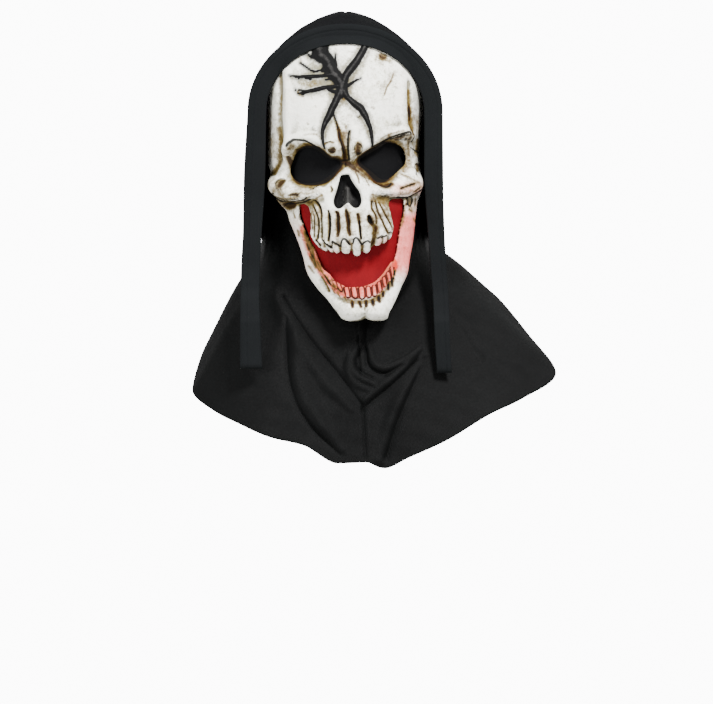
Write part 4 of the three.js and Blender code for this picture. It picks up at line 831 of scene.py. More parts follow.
        [42, 83.4, 2], [46.6, 91, 1.8]]),
    (0.56, [[-26, 113.4, 1.3], [-21.6, 108, 1.4]]), (0.56, [[-18.6, 111.6, 1.3], [-12.4, 105.6, 1.4]]),
    (0.52, [[-9.8, 110.6, 1.2], [-4.6, 106.8, 1.2]]),
    (0.5, [[31, 115.4, 1.1], [36, 116, 1.2], [41, 117.6, 1.1], [45, 119.6, 1]]),
    (0.5, [[36, 113.6, 1], [35.8, 109, 1]]), (0.5, [[41.6, 116, 1], [41.8, 112, 1]]),
    (0.55, [[-38, 146, 1], [-33.6, 150, 1.2], [-27, 152.6, 1]]),
    (0.5, [[26, 157, 1], [33, 156.4, 1.2], [43, 155, 1.1]]),
    (0.4, [[-24, 214, 1.2], [-30, 218, 1.4], [-40, 217, 1.4]]),
    (0.36, [[-76, 240, 2.6], [-75.6, 222, 3], [-76, 204, 3]]), (0.36, [[72, 236, 2.4], [73.4, 220, 2.6]]),
]
print("wash strokes:", len(WASH_STROKES))

# %% [markdown]
# ## Fine dark lines
# Over the wash a thin brush draws almost black lines: round the teeth, under the brows, down the roots and
# round the pits. They are strokes as well, only narrower. A pit's line is a ring, given by its middle and
# its half width and height. The joints between the lower teeth are a red brown of their own.

# %% Strokes and rings of ink
INK_STROKES = [
    (0.9, [[-57, 206, 0.7], [-55, 208.7, 0.9], [-51.7, 211, 1], [-49.7, 212.3, 1], [-45.7, 212, 0.9],
        [-42.3, 211.7, 0.9], [-38.3, 210.7, 0.9], [-33.7, 207.7, 0.9], [-29.7, 204.9, 0.9],
        [-25.7, 201.5, 0.8], [-21.7, 198.2, 0.8], [-17, 194.4, 0.7]]),
    (0.8, [[27.3, 204.7, 0.7], [36.7, 209.3, 0.9], [43.3, 212.7, 1], [50, 216.3, 1], [56.7, 219, 1],
        [60.7, 220.3, 0.9], [63.3, 218, 0.7]]),
    (0.62, [[48, 212.7, 0.6], [56.7, 216.7, 0.8], [62, 217, 0.6]]),
    (0.55, [[52.7, 212, 0.6], [58, 212.4, 0.7], [62.7, 212, 0.6]]),
    (0.8, [[4.3, 220.7, 0.9], [3, 213.3, 1.1], [3, 205.3, 1.1], [3.7, 198, 1.1], [4.3, 193.3, 1]]),
    (0.6, [[-6.4, 220, 0.7], [-4, 210, 0.9], [-1.4, 198, 1]]),
    (0.6, [[-4.6, 191.6, 0.7], [0.4, 191.8, 0.8], [5, 192, 0.7]]),
    (0.6, [[-7, 191.6, 0.7], [-2.3, 188.7, 0.8]]), (0.6, [[0.6, 189, 0.7], [1, 184.6, 0.6]]),
    (0.4, [[-14, 200.2, 1.3], [-12.2, 200, 1.4]]), (0.5, [[12.4, 198.9, 1.6], [13.8, 198.6, 1.5]]),
    (0.6, [[-19.7, 209.2, 0.5], [-14, 210.8, 0.5]]),
    (0.6, [[68, 204.7, 0.7], [72.7, 200.7, 0.9], [75.4, 198, 0.6]]),
    (0.8, [[67.4, 210.4, 1.1], [68.6, 214.4, 1.1]]), (0.6, [[65, 244, 0.7], [65.6, 236, 0.8]]),
    (0.55, [[-63.4, 213, 0.6], [-62.6, 206, 0.7], [-64.4, 197, 0.7], [-64.8, 190, 0.6]]),
    (0.6, [[69.3, 176.9, 0.6], [70.7, 181.3, 0.6]]),
    (0.6, [[32.7, 170, 0.6], [36, 166.9, 0.7], [40, 164.6, 0.8], [44.7, 166, 0.7], [48.7, 170, 0.5]]),
    (0.5, [[39, 164.7, 1.1], [41.4, 164.7, 1.1]]),
    (0.6, [[53.3, 163.3, 0.6], [60, 166, 0.7], [66.7, 168, 0.5]]),
    (0.55, [[64.7, 161.3, 0.6], [70, 164.7, 0.6]]),
    (0.5, [[34, 158.7, 0.6], [40, 157.6, 0.7], [46, 157.3, 0.6]]),
    (0.45, [[36, 154.9, 0.6], [44, 154.5, 0.6]]),
    (0.85, [[52, 155, 0.7], [60, 154.4, 0.9], [65.3, 156.7, 1], [71.3, 162, 1], [77.3, 168, 0.8]]),
    (0.5, [[45, 153.6, 0.7], [53, 154.8, 0.8]]),
    (0.66, [[-73.7, 162, 0.6], [-69.7, 156.7, 0.7], [-63, 152, 0.8], [-56.3, 151, 0.7], [-51.7, 151.3, 0.7],
        [-45.7, 152, 0.7], [-40.3, 152.7, 0.7], [-36.3, 155.3, 0.6]]),
    (0.7, [[-50.3, 148, 0.7], [-43, 148.7, 0.9], [-39, 150.7, 0.9], [-34.3, 153.3, 0.7]]),
    (0.6, [[-68.4, 161.6, 0.8], [-67, 161, 0.8]]),
    (0.6, [[-32.3, 163.3, 0.6], [-27.7, 166.7, 0.6]]), (0.6, [[-27.3, 157.9, 0.8], [-26.7, 157.5, 0.8]]),
    (0.5, [[-30.5, 155.4, 0.6], [-30.1, 155.2, 0.6]]), (0.5, [[-14.5, 170.9, 0.7], [-14.1, 170.5, 0.7]]),
    (0.3, [[-50.6, 158.7, 0.7], [-46.6, 158.2, 0.8]]),
    (0.6, [[-13.2, 164.6, 0.6], [-12.6, 162.4, 0.7], [-13.4, 160.8, 0.6]]),
    (0.6, [[-58.4, 148, 1], [-55.7, 147.6, 1.5], [-53, 147, 1]]),
    (0.75, [[62.6, 153, 0.7], [61.6, 148.6, 0.8], [62.6, 145.6, 0.6]]),
    (0.5, [[70.2, 152.4, 0.6], [70.1, 147.6, 0.6]]),
    (0.75, [[-15.3, 141.3, 0.7], [-14.3, 138.7, 0.8], [-13.3, 130, 0.8], [-13.3, 122, 0.8],
        [-14.3, 112.6, 0.7]]),
    (0.55, [[-6.8, 137, 0.7], [-6.2, 131, 0.8], [-5.6, 122, 0.6]]),
    (0.5, [[2.4, 137, 0.8], [3.9, 129, 0.8], [4.3, 121, 0.6]]),
    (0.72, [[14, 131.3, 0.7], [14.7, 124, 0.8], [15, 117.3, 0.8], [15.7, 113.6, 0.7]]),
    (0.95, [[23, 134.6, 1.3], [23.9, 131.4, 1.8], [25, 129.6, 1.2]]),
    (0.5, [[26.4, 150, 0.6], [26.8, 143, 0.6], [29.6, 136.7, 0.6]]),
    (0.5, [[30.6, 149, 0.6], [32, 142, 0.7], [35, 134, 0.6], [39.6, 122.6, 0.6]]),
    (0.5, [[34.8, 148.6, 0.6], [37.6, 142, 0.6], [45.4, 125.6, 0.6]]),
    (0.6, [[-29, 150.6, 0.7], [-25.2, 146, 0.8], [-22.4, 140, 0.8], [-21.8, 135, 0.6]]),
    (0.55, [[-32.6, 146.2, 0.6], [-27.6, 139, 0.7], [-24.9, 132, 0.6]]),
    (0.85, [[-26.3, 113.3, 0.6], [-24.4, 110.6, 0.8], [-22.2, 107.2, 0.9]]),
    (0.85, [[-20, 113.3, 0.7], [-16, 109.3, 0.9], [-11.8, 105.2, 0.9]]),
    (0.85, [[-10.7, 107.7, 0.7], [-10.2, 111.8, 0.8], [-7, 109.6, 0.8], [-4.2, 106.9, 0.8]]),
    (0.85, [[-2.8, 106.7, 0.7], [-1.8, 111.6, 0.8], [0, 114.1, 0.9], [2, 113.1, 0.9], [5.3, 108.4, 0.8]]),
    (0.85, [[8.3, 109.3, 0.7], [9.2, 113.6, 0.8], [11, 114.9, 0.9], [13, 113.5, 0.9], [16.4, 108.4, 0.8],
        [18.7, 110.7, 0.8], [21.3, 111.9, 0.8], [24, 110, 0.7]]),
    (0.75, [[30.7, 114, 0.7], [33, 115.6, 0.8], [35.3, 114.7, 0.7]]),
    (0.75, [[34.3, 117.3, 0.6], [36.7, 116.1, 0.7], [39.3, 117.2, 0.7], [40, 114.7, 0.6]]),
    (0.65, [[41.7, 119.3, 0.6], [43.3, 120.5, 0.7], [44.7, 119.3, 0.6]]),
    (0.6, [[41.7, 116, 0.5], [43.3, 113.5, 0.6]]),
    (0.55, [[7, 49, 0.9], [8.2, 46.4, 0.7]]), (0.55, [[14.6, 49.2, 1], [16, 46.6, 0.7]]),
    (0.55, [[21.1, 50, 1], [21.1, 47.6, 0.8]]), (0.62, [[27.8, 51, 1.2], [27.8, 48.6, 1]]),
    (0.62, [[34.2, 54.6, 1.2], [34.2, 51.6, 1]]), (0.6, [[38.7, 59.4, 0.9], [38.6, 56.6, 0.7]]),
    (0.66, [[44, 66.8, 0.9], [43.9, 63.4, 0.8]]), (0.6, [[47.5, 71.8, 0.8], [47.3, 66.6, 0.7]]),
    (0.7, [[48.9, 74, 0.6], [48.9, 73, 0.6]]), (0.8, [[50, 80.6, 0.7], [49.8, 77.2, 0.6]]),
    (0.75, [[48.9, 84.4, 0.7], [48.9, 83, 0.7]]),
    (0.6, [[1.9, 54.9, 0.4], [3.5, 53.9, 0.5], [6.5, 55.2, 0.5], [9.9, 53.9, 0.5], [13.1, 53.4, 0.5],
        [16.9, 52.9, 0.5], [20.6, 54.1, 0.5], [23.8, 53.6, 0.5], [26.5, 54.8, 0.5], [30.2, 55.3, 0.4]]),
    (0.9, [[-19.4, 75.9, 0.8], [-17.3, 71.4, 0.8], [-15.1, 68, 0.7]]),
    (0.6, [[-13.7, 67.3, 0.7], [-13.3, 66.9, 0.7]]), (0.5, [[-10.5, 63.4, 0.5], [-10.1, 61.6, 0.5]]),
    (0.5, [[-7.1, 63.9, 0.5], [-3.4, 59.9, 0.6], [-1.3, 62.9, 0.5]]),
    (0.45, [[-22.6, 73, 0.6], [-19, 66.4, 0.6]]),
    (0.6, [[-74.6, 166, 0.6], [-69, 158.6, 0.7], [-61.6, 154, 0.7], [-52, 153.2, 0.6], [-44, 154.4, 0.5]]),
    (0.5, [[-71, 154.4, 0.6], [-64.6, 148.6, 0.6]]),
    (0.5, [[38, 208.4, 0.5], [48, 213.8, 0.6], [57, 214.8, 0.6], [63, 212.4, 0.5]]),
    (0.45, [[44, 208.9, 0.5], [54, 209.6, 0.6], [60, 205.4, 0.5]]),
    (0.45, [[-38.4, 109, 0.5], [-34.6, 98.6, 0.6], [-29.6, 87, 0.5]]),
    (0.5, [[-36, 148.6, 0.6], [-31.6, 151.4, 0.6], [-26.6, 149.6, 0.6]]),
    (0.6, [[-22.4, 140, 0.6], [-21.6, 128, 0.7], [-21, 116, 0.5]]),
    (0.55, [[-24.9, 132, 0.6], [-24.4, 122, 0.6], [-24.9, 113, 0.5]]),
    (0.5, [[-29.8, 136, 0.5], [-29, 128, 0.6], [-28.4, 117, 0.5]]),
    (0.5, [[-33.2, 138, 0.5], [-31.8, 130, 0.6], [-31.2, 122, 0.5]]),
    (0.5, [[29.4, 136.7, 0.5], [30.2, 128, 0.6]]),
    (0.5, [[35, 134, 0.5], [38.4, 125, 0.6], [40.4, 120, 0.5]]),
    (0.5, [[38, 141, 0.5], [42, 132, 0.6], [45.6, 124, 0.5]]),
    (0.5, [[28, 154.4, 0.5], [35, 156.6, 0.6], [43.6, 155.2, 0.5]]),
    (0.5, [[27, 151, 0.6], [28.6, 143.6, 0.6], [32, 137, 0.5]]),
    (0.5, [[63.6, 220, 0.6], [64.4, 212, 0.6], [66.8, 205.4, 0.5]]),
    (0.4, [[24, 165.6, 0.5], [19.6, 176.4, 0.5]]), (0.4, [[14, 169, 0.5], [11.4, 180.6, 0.5]]),
]
# strength, x, z, half width, half height of the ring
INK_RINGS = [
    (0.45, -63.7, 168.7, 3, 5), (0.5, 13.2, 236.1, 1.5, 1.4), (0.4, -29.8, 223.6, 3, 2.6),
    (0.6, 65, 150.7, 2.9, 5),
    (0.35, -48.3, 158.4, 4.6, 1.8), (0.45, 72.3, 184.7, 1.8, 3.6), (0.45, -13, 202, 3.6, 3),
    (0.5, 13.2, 202.6, 4.2, 5.6),
]
# between two lower crowns: [x, z, half width] from gum to tip
LOWER_GAPS = [
    [[5.9, 63, 0.8], [5.7, 56, 0.7]], [[12.7, 63, 0.8], [13.4, 55.6, 0.7]],
    [[19.8, 63.4, 0.8], [20.6, 55.6, 0.7]],
    [[25.7, 64, 0.8], [26.6, 56.8, 0.7]], [[31, 66.6, 0.8], [32, 59, 0.7]],
    [[35.6, 71, 0.8], [37, 62.4, 0.7]],
    [[40.2, 76, 0.8], [41.6, 66.8, 0.7]], [[44.2, 81, 0.8], [45.8, 73, 0.7]],
    [[-1.2, 64, 0.7], [0.4, 58, 0.6]],
]
print("ink strokes:", len(INK_STROKES), "rings:", len(INK_RINGS), "gaps of teeth:", len(LOWER_GAPS))

# %% [markdown]
# ## From strokes to layers
# Each layer is a number from 0 to 1 for each point of the grid, kept with the mesh as an attribute. A layer
# is the strongest of its strokes at each place. Blurring a layer gives the soft stain round a stroke, and a
# point that lies lower than its blurred surroundings is a hollow, where dirt collects and a painted shade is
# laid as well.


# %% Brush and blur
def strokes(place, table, brush):
    """All strokes of a paint, widened by the brush's softness: the strongest of their bells at each place."""
    layer = np.zeros(place.shape[:-1])
    for strength, line in table:
        layer = np.maximum(layer, strength * bell(place, smooth_line(line) * [1, 1, brush]))
    return layer


def grown_soft(values, times):
    """A blurred grid of numbers: each becomes the mean of itself and its four neighbours, many times."""
    for _ in range(times):
        wide = np.pad(values, 1, mode="edge")
        values = (values + wide[:-2, 1:-1] + wide[2:, 1:-1] + wide[1:-1, :-2] + wide[1:-1, 2:]) / 5
    return values


drop = np.zeros((9, 9))
drop[4, 4] = 1
print("a drop of paint, blurred four times, keeps", round(float(grown_soft(drop, 4).max()), 2))

# %% Dirt and painted shade, wash and ink
x, z = place[..., 0], place[..., 1]
# dirt and painted shade in the hollows: darker where the bone lies lower than its blurred surroundings, at a
# small and a wide scale
dirt = np.clip((grown_soft(bone, 30) - bone) / 1.1, 0, 1) * fade
dirt = np.maximum(dirt, 0.8 * np.clip((grown_soft(bone, 150) - bone) / 2.4, 0, 1) * fade)
rings = np.max([
    strength * np.exp(-(((np.hypot((x - at_x) / wide, (z - at_z) / high) - 1) * min(wide, high) / 0.8) ** 2))
    for strength, at_x, at_z, wide, high in INK_RINGS
], 0)
around_eye = np.maximum(eye_near, 0)
wash = strokes(place, WASH_STROKES, 1.5)
wash = np.maximum(wash, 0.85 * grown_soft(wash, 14))
wash = np.maximum(wash, 0.7 * grown_soft(wash, 70))
wash = np.maximum(wash, 0.95 * np.exp(-((around_eye / 4.2) ** 2)))
wash = np.maximum(wash, 0.46 * np.exp(-((around_eye / 8) ** 2)))
wash = np.maximum(wash, 0.34 * np.exp(-((mouth_off / 1.5) ** 2)) * ease(z, 116, 126))
ink = np.maximum(strokes(place, INK_STROKES, 1.3), rings)
ink = np.maximum(ink, 0.9 * np.exp(-((around_eye / 1.5) ** 2)))
print("painted brown:", round(100 * float((wash > 0.3).mean())), "percent of the grid")

# %% [markdown]
# ## Black, soot, painted shade and the reds
# Black is brushed thickly into the cracks and the nose, with a painted grey highlight along the middles of
# the veins and over the nose's septum. It leaves a grey haze of soot round the cracks, and the same grey is a
# painted shade on the sides of the forehead and of the upper jaw's roots. Pink is sprayed on the right jaw,
# and coral lies in a broad band along the lower gum, thinner on the middles of the lower crowns as a painted
# highlight. Rust fills the joints of the lower teeth.

# %% Black, painted highlight, soot and painted shade
nose_black = ease(nose_in, -0.8, 0.6)
black = np.maximum(crack, nose_black)
wide_septum = bell(place, smooth_line(BONE_LINES["nose_septum"][1]) * [1, 1, 1.9])
# painted highlight: grey along the middles of the veins and over the nose's septum
sheen = np.maximum(crack_core * (1 - nose_black), nose_black * (0.5 + 0.75 * wide_septum))
# soot round the cracks, then painted shade on the sides of the upper jaw's roots and of the forehead
soot = np.zeros(x.shape)
for line in CRACKS:
    off, spot = nearest_on(line, place)
    soot = np.maximum(soot, 0.75 * np.exp(-((off / (spot[..., 2] + 2)) ** 2)))
left_halo = np.exp(-(((x + 28) / 14) ** 2) - ((z - 268.5) / 6) ** 2)
soot = np.maximum(soot, 0.4 * left_halo)
# painted shade: grey on the sides of the upper jaw's roots
for at_x, at_z, wide, high in ((-28, 130, 7, 16), (38, 136, 8, 14)):
    soot = np.maximum(soot, 0.34 * np.exp(-(((x - at_x) / wide) ** 2) - ((z - at_z) / high) ** 2))
# painted shade: grey on the outer sides of the forehead, where the face turns away from the light
shade_side = ease(np.abs(x + 1) / 80, 0.76, 0.94) * ease(z, 160, 205)
soot = np.maximum(soot, 0.5 * shade_side)
print("painted black:", round(100 * float((black > 0.5).mean())), "percent of the grid")

# %% Pink, coral and rust
pink = np.maximum.reduce([
    0.85 * ease(x, 44, 51) * (1 - ease(z, 132, 152)) * ease(z, 58, 92),
    0.5 * ease(x, 34, 50) * np.exp(-(((z - 163) / 9) ** 2)),
    0.34 * ease(-x, 20, 44) * (1 - ease(z, 120, 150)) * ease(z, 56, 84),
    0.5 * crown * (1 - ease(z, 100, 108)) * ease(z, 92, 96) * ease(-x, 3, 8),
    0.5 * crown * ease(x, 26, 30) * (1 - ease(z, 112, 120)) * ease(z, 98, 103),
    0.3 * ease(-x, 44, 60) * np.exp(-(((z - 146) / 8) ** 2)),
    0.4 * ease(x, 56, 62) * np.exp(-(((z - 146) / 10) ** 2)),
    0.45 * bell(place, smooth_line([[2, 50.6, 2], [14, 49.4, 2], [28, 51.6, 2], [36, 57, 2]])),
])
lip_line = smooth_line([
    [-34, 98, 3.4], [-28, 88, 4.4], [-21.4, 79, 5.4], [-14.4, 72, 6.6], [-5.6, 64, 7.6], [3, 60.8, 7.8],
    [16, 60.4, 8], [28, 62.8, 8], [36, 69, 7.8], [43, 78, 7], [47.6, 86, 5.4], [47.6, 92, 4],
])
# the coral is thinner on the middles of the lower crowns: a painted highlight
coral = bell(place, lip_line, 4) * (1 - 0.15 * ease(-x, 8, 20)) * (1 - 0.22 * ease(low_crown, 0.6, 1))
ramus = bell(place, smooth_line([
    [-42, 124, 3.4], [-39, 117, 4.4], [-35.6, 108, 5.2], [-31.2, 96.6, 5.4], [-26, 85.6, 5], [-20, 78, 3.6],
]), 4)
coral = np.maximum(coral, 0.8 * ramus)
wash = np.maximum(wash, 0.3 * ramus)
rust = np.maximum.reduce([
    0.95 * np.max([bell(place, np.array(line) * [1, 1, 1.6]) for line in LOWER_GAPS], 0),
    np.exp(-(((low_crown - 0.4) / 0.3) ** 2)) * ease(x, -18, -10),
])
print("pink, coral and rust at most:", [round(float(layer.max()), 2) for layer in (pink, coral, rust)])

# %% [markdown]
# ## The mask itself
# Cells whose middle lies inside an opening are left out. A point that had cells on both sides of the cut is
# moved to the nearest place on the outline. Then the sheet gets its 2 mm wall on the inside.


# %% Cut the openings and make the shell
def cut_out(points, faces, outlines, kept=False):
    """Leaves out the cells inside the outlines, or outside them if the inside is kept, and moves the points
    of the cut onto them: the new place keeps its depth, and its distance to the outline becomes zero."""
    flat = points.reshape(-1, 3).copy()
    for outline in outlines:
        centre = drawn(flat[faces].mean(1))
        gone = inside(outline, centre) != kept
        edge = np.intersect1d(faces[gone], faces[~gone])
        spot = nearest_on(closed(outline), drawn(flat[edge]))[1][..., :2]
        flat[edge] = undrawn(spot, flat[edge, 1])
        faces = faces[~gone]
    return flat, faces


shell_points, shell_faces = cut_out(
    shell, grid_faces(*TURN.shape), [EYE_HOLES["left"], EYE_HOLES["right"], MOUTH]
)
print("cells in the mask:", len(shell_faces))

# %% [markdown]
# ## The mask's finish
# Moulded plastic with hand paint: the paint layers are mixed one over the other, in the order of the real
# work. Noise breaks their edges, because a brush never leaves an even line. The plastic has a soft shine,
# the black is duller, and a fine bump stands for brush marks and the casting's skin.

# %% Plastic and coloured layers
paint = Bench("mask_plastic")
where = paint.place()
patch = paint.noise(where, 45, 4)
grit = paint.noise(where, 520, 3, 0.7)
fine = paint.noise(where, 190, 4, 0.7)
streak = paint.noise(paint.stretched(where, (260, 260, 60)), 1.0, 3)
uneven = (grit - 0.5) * 0.5 + (fine - 0.5) * 0.9
tone = paint.mix(linear(248, 247, 236), linear(204, 204, 182), (patch + uneven * 0.8).eased(0.42, 0.82))
# grey of soot, and painted shade in the same grey
tone = paint.mix(tone, linear(96, 98, 96), (paint.painted("soot") + uneven * 0.35).eased(0.06, 0.8))
tone = paint.mix(tone, linear(232, 108, 102), (paint.painted("pink") + uneven * 0.3).eased(0.04, 1.0))
tone = paint.mix(tone, linear(192, 44, 18), (paint.painted("coral") + uneven * 0.7).eased(0.03, 0.85) * 0.92)
# dark olive: dirt and painted shade in the hollows
tone = paint.mix(tone, linear(92, 86, 58), (paint.painted("dirt") + uneven * 0.6).eased(0.06, 0.7) * 0.88)
wash_share = paint.painted("wash") + uneven * 0.6
tone = paint.mix(tone, linear(100, 82, 30), wash_share.eased(0.12, 0.55) * 0.9)
tone = paint.mix(tone, linear(36, 22, 6), wash_share.eased(0.42, 0.78) * 0.96)
tone = paint.mix(tone, linear(70, 20, 10), (paint.painted("rust") + uneven * 0.5).eased(0.08, 0.62))
print("nodes so far:", len(paint.tree.nodes))

# %% Ink, black with its painted highlight, and the shine
inked = (paint.painted("ink") + uneven * 0.5).eased(0.18, 0.55)
tone = paint.mix(tone, linear(9, 8, 7), inked * 0.96)
black_share = (paint.painted("black") + uneven * 0.3).eased(0.16, 0.7)
# painted highlight: the black turns grey where the highlight is painted
sheen_share = (paint.painted("sheen") + uneven * 1.1).eased(0.6, 1.25)
charcoal = paint.mix(linear(5, 5, 5), linear(46, 45, 44), sheen_share)
tone = paint.mix(tone, charcoal, black_share)
skin = paint.bump(grit * 0.25 + streak * 0.3 + fine * 0.9 + patch, 0.0014, 0.8)
mask_plastic = paint.finished(
    Base_Color=tone, Roughness=(0.4 + 0.2 * patch + 0.4 * inked + 0.25 * black_share).held(), Normal=skin,
    Specular_IOR_Level=0.1,
)
print("nodes of the finish:", len(paint.tree.nodes))

# %% The mask as a piece
mask = make_piece(
    "mask_painted", shell_points, shell_faces, mask_plastic, wash=wash, ink=ink, black=black,
    sheen=sheen, soot=soot, dirt=dirt, pink=pink, coral=coral, rust=rust,
)
thicken(mask, WALL)
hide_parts("mask_shell")

# %% [markdown]
# ## Eye mesh
# Behind each eye hole a patch of black net is glued inside the socket: it lets light through, but looks
# black from the front. It is the hole's outline, grown by five and a half steps and laid just behind the
# bone. The threads are too fine to model, so two crossed sine waves draw them on the patch's own flat
# measure.

# %% Finish of the net
NET_THREADS = 5200  # radians in a metre: a thread every 1.2 mm
net = Bench("eye_mesh")
flat_place = net.uv()
across = net.node("SeparateXYZ", {}, {"Vector": flat_place}, 0)
upward = net.node("SeparateXYZ", {}, {"Vector": flat_place}, 1)
crossed = {0: (across * NET_THREADS).sine(), 1: (upward * NET_THREADS).sine()}
threads = net.node("Math", {"operation": "MAXIMUM"}, crossed)
net_height = (threads * 0.5 + 0.5).held()
eye_mesh = net.finished(
    Base_Color=net.mix(linear(3, 3, 4), linear(14, 14, 15), net_height), Roughness=0.85,
    Normal=net.bump(net_height, 0.0002, 0.8), Specular_IOR_Level=0.05,
)
print("nodes of the net:", len(net.tree.nodes))

# %% Patches behind the holes
MESH_WALL, SOCKET, GLUE = 0.0012, 0.010, 0.0003
NET_OVER, NET_CELL = 5.5, 1.3


def behind_form(place, depth):
    """Points at a depth behind the dome, along its normal, that are seen at the places: the point of the dome
    that is looked for moves by the miss, eight times over."""
    spot = place.copy()
    for _ in range(8):
        y = np.full(spot.shape[:-1], BACK_Y - DEPTH)
        for _ in range(3):
            x, _, z = np.moveaxis(undrawn(spot, y), -1, 0)
            y = dome_depth(x, z)
        up = (z - CHIN_Z) / HEIGHT
        left, right = between(DOME, 1, up), between(DOME, 2, up)
        turn = np.arcsin(np.clip((2 * x / HALF_WIDTH - right + left) / (right + left), -1, 1))
        point = dome(turn, up) - dome_normal(turn, up) * depth
        spot = spot + place - drawn(point)
    return point


def net_patch(hole):
    """A grid over the hole, cut to an outline that lies further out: each point of the hole's outline times
    (reach + net over) / reach from the middle. Then each point goes to its depth behind the dome."""
    middle = hole.mean(0)
    reach = np.hypot(*(hole - middle).T)[:, None]
    edge = middle + (hole - middle) * (reach + NET_OVER) / reach
    low, high = edge.min(0) - NET_CELL, edge.max(0) + 2 * NET_CELL
    spans = [np.arange(low[k], high[k], NET_CELL) for k in (0, 1)]
    grid = np.stack(np.meshgrid(*spans), -1)
    flat, faces = cut_out(undrawn(grid, PLANE_Y), grid_faces(*grid.shape[:2]), [edge], kept=True)
    return behind_form(drawn(flat), SOCKET + WALL + GLUE), faces


eye_patches = []
for name, hole in EYE_HOLES.items():
    points, faces = net_patch(hole)
    patch_piece = make_piece("net_" + name, points, faces, eye_mesh, uv=points[..., [0, 2]])
    thicken(patch_piece, MESH_WALL)
    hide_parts("eye_mesh_" + name)
    eye_patches.append(patch_piece)

# %% [markdown]
# ## The red mouth cloth
# A piece of thin red net is glued inside the cheeks and the chin, and hangs a little slack between them. It
# follows the dome: at its edges it lies just inside the wall, in its middle 9 mm behind it. The net's fine
# threads run downwards, so the finish is made of narrow upright stripes.

# %% Finish of the red net
STRIPES, RUNGS = 4400, 5200  # radians in a metre: a stripe every 1.4 mm, a rung every 1.2 mm
red = Bench("mouth_mesh")
cloth_place = red.uv()
sideways = red.node("SeparateXYZ", {}, {"Vector": cloth_place}, 0)
downwards = red.node("SeparateXYZ", {}, {"Vector": cloth_place}, 1)
stripes = (sideways * STRIPES).sine() * 0.5 + 0.5
rungs = (downwards * RUNGS).sine() * 0.5 + 0.5
weave = stripes * 0.75 + rungs * 0.25
uneven = red.noise(red.stretched(cloth_place, (60, 14, 1)), 1.0, 3)
red_tone = red.mix(linear(76, 1, 7), linear(120, 6, 15), (weave * 0.7 + uneven * 0.6 - 0.2).held())
mouth_mesh = red.finished(
    Base_Color=red_tone, Roughness=0.75, Normal=red.bump(weave, 0.0002, 0.7), Specular_IOR_Level=0.1,
)
print("nodes of the red net:", len(red.tree.nodes))

# %% The mouth cloth
MOUTH_CLOTH = dict(bottom=0.045, side_top=0.435, middle_top=0.35, edge_gap=0.00205, middle_gap=0.009, turn=56)
MOUTH_GRID, MOUTH_WIDE, MOUTH_HIGH = 90, 0.13, 0.12


def mouth_cloth_surface(u, v):
    """The dome moved back along its normal by wall + gap, where the gap grows from the edge to the middle as
    sin(pi u) sin(pi v); the top edge dips in the middle."""
    m = MOUTH_CLOTH
    side = 2 * u - 1
    top = m["middle_top"] + (m["side_top"] - m["middle_top"]) * ease(np.abs(side), 0.35, 0.9)
    up = m["bottom"] + v * (top - m["bottom"])
    slack = np.sin(np.pi * u) * np.sin(np.pi * v)
    back = WALL + m["edge_gap"] + (m["middle_gap"] - m["edge_gap"]) * slack
    turn = np.radians(side * m["turn"])
    return dome(turn, up) - dome_normal(turn, up) * back[..., None]


U, V = np.meshgrid(np.linspace(0, 1, MOUTH_GRID), np.linspace(0, 1, MOUTH_GRID))
mouth = make_piece(
    "mouth_net", mouth_cloth_surface(U, V), grid_faces(MOUTH_GRID, MOUTH_GRID), mouth_mesh,
    uv=np.stack([U * MOUTH_WIDE, V * MOUTH_HIGH], -1),
)
thicken(mouth, MESH_WALL)
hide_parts("mouth_cloth")

# %% [markdown]
# ## Black knit
# Hood, band and cowl are sewn from one black jersey. A jersey shows columns of small loops on its right
# side: each loop is a V, made here from a sine wave whose phase is shifted up and down across the column. A
# loop is about a millimetre wide, so from two metres away it only softens the light. The cowl's cloth is a
# little shinier. The band, the hood and the cowl get different tones of the same black as painted light and
# shade: the band's forward face lighter, the hood and the cowl darker. The cowl's colour also fades to black
# where it goes deep under the chin, a painted shade.

# %% Knit finishes
LOOP = 0.0011


def knit(name, dark, light, roughness=0.85, shine=0.04, deep=False):
    """Jersey: the height is a wave down the cloth, shifted by the distance from the column's middle."""
    bench = Bench(name)
    spot = bench.uv()
    x = bench.node("SeparateXYZ", {}, {"Vector": spot}, 0) * (1 / LOOP)
    y = bench.node("SeparateXYZ", {}, {"Vector": spot}, 1) * (1.25 / LOOP)
    from_middle = bench.node("Math", {"operation": "PINGPONG"}, {0: x, 1: 0.5})
    loops = ((y + from_middle * 1.1) * (2 * np.pi)).sine() * 0.5 + 0.5
    rib = (x * (2 * np.pi)).sine() * 0.5 + 0.5
    height = loops * 0.6 + rib * 0.4
    fluff = bench.noise(bench.place(), 900, 2)
    worn = bench.noise(bench.place(), 14, 3)
    colour = bench.mix(dark, light, (height * 0.45 + worn * 0.55 + fluff * 0.3 - 0.25).held())
    # painted shade: the colour goes to black where the cowl lies deep under the chin
    if deep:
        colour = bench.mix(colour, linear(0, 0, 0), bench.painted("deep"))
    return bench.finished(
        Base_Color=colour, Roughness=roughness, Normal=bench.bump(height + fluff * 0.5, 0.0003, 0.6),
        Specular_IOR_Level=shine,
    )


# one jersey in three tones: painted light on the band, painted shade on the hood and the cowl
hood_cloth = knit("hood_cloth", linear(3, 3, 4), linear(14, 15, 16))
band_cloth = knit("band_cloth", linear(10, 11, 12), linear(23, 25, 26))
cowl_cloth = knit("cowl_cloth", linear(0, 0, 0), linear(12, 13, 13), roughness=0.5, shine=0.06, deep=True)
print("knit finishes:", [cloth.name for cloth in (hood_cloth, band_cloth, cowl_cloth)])

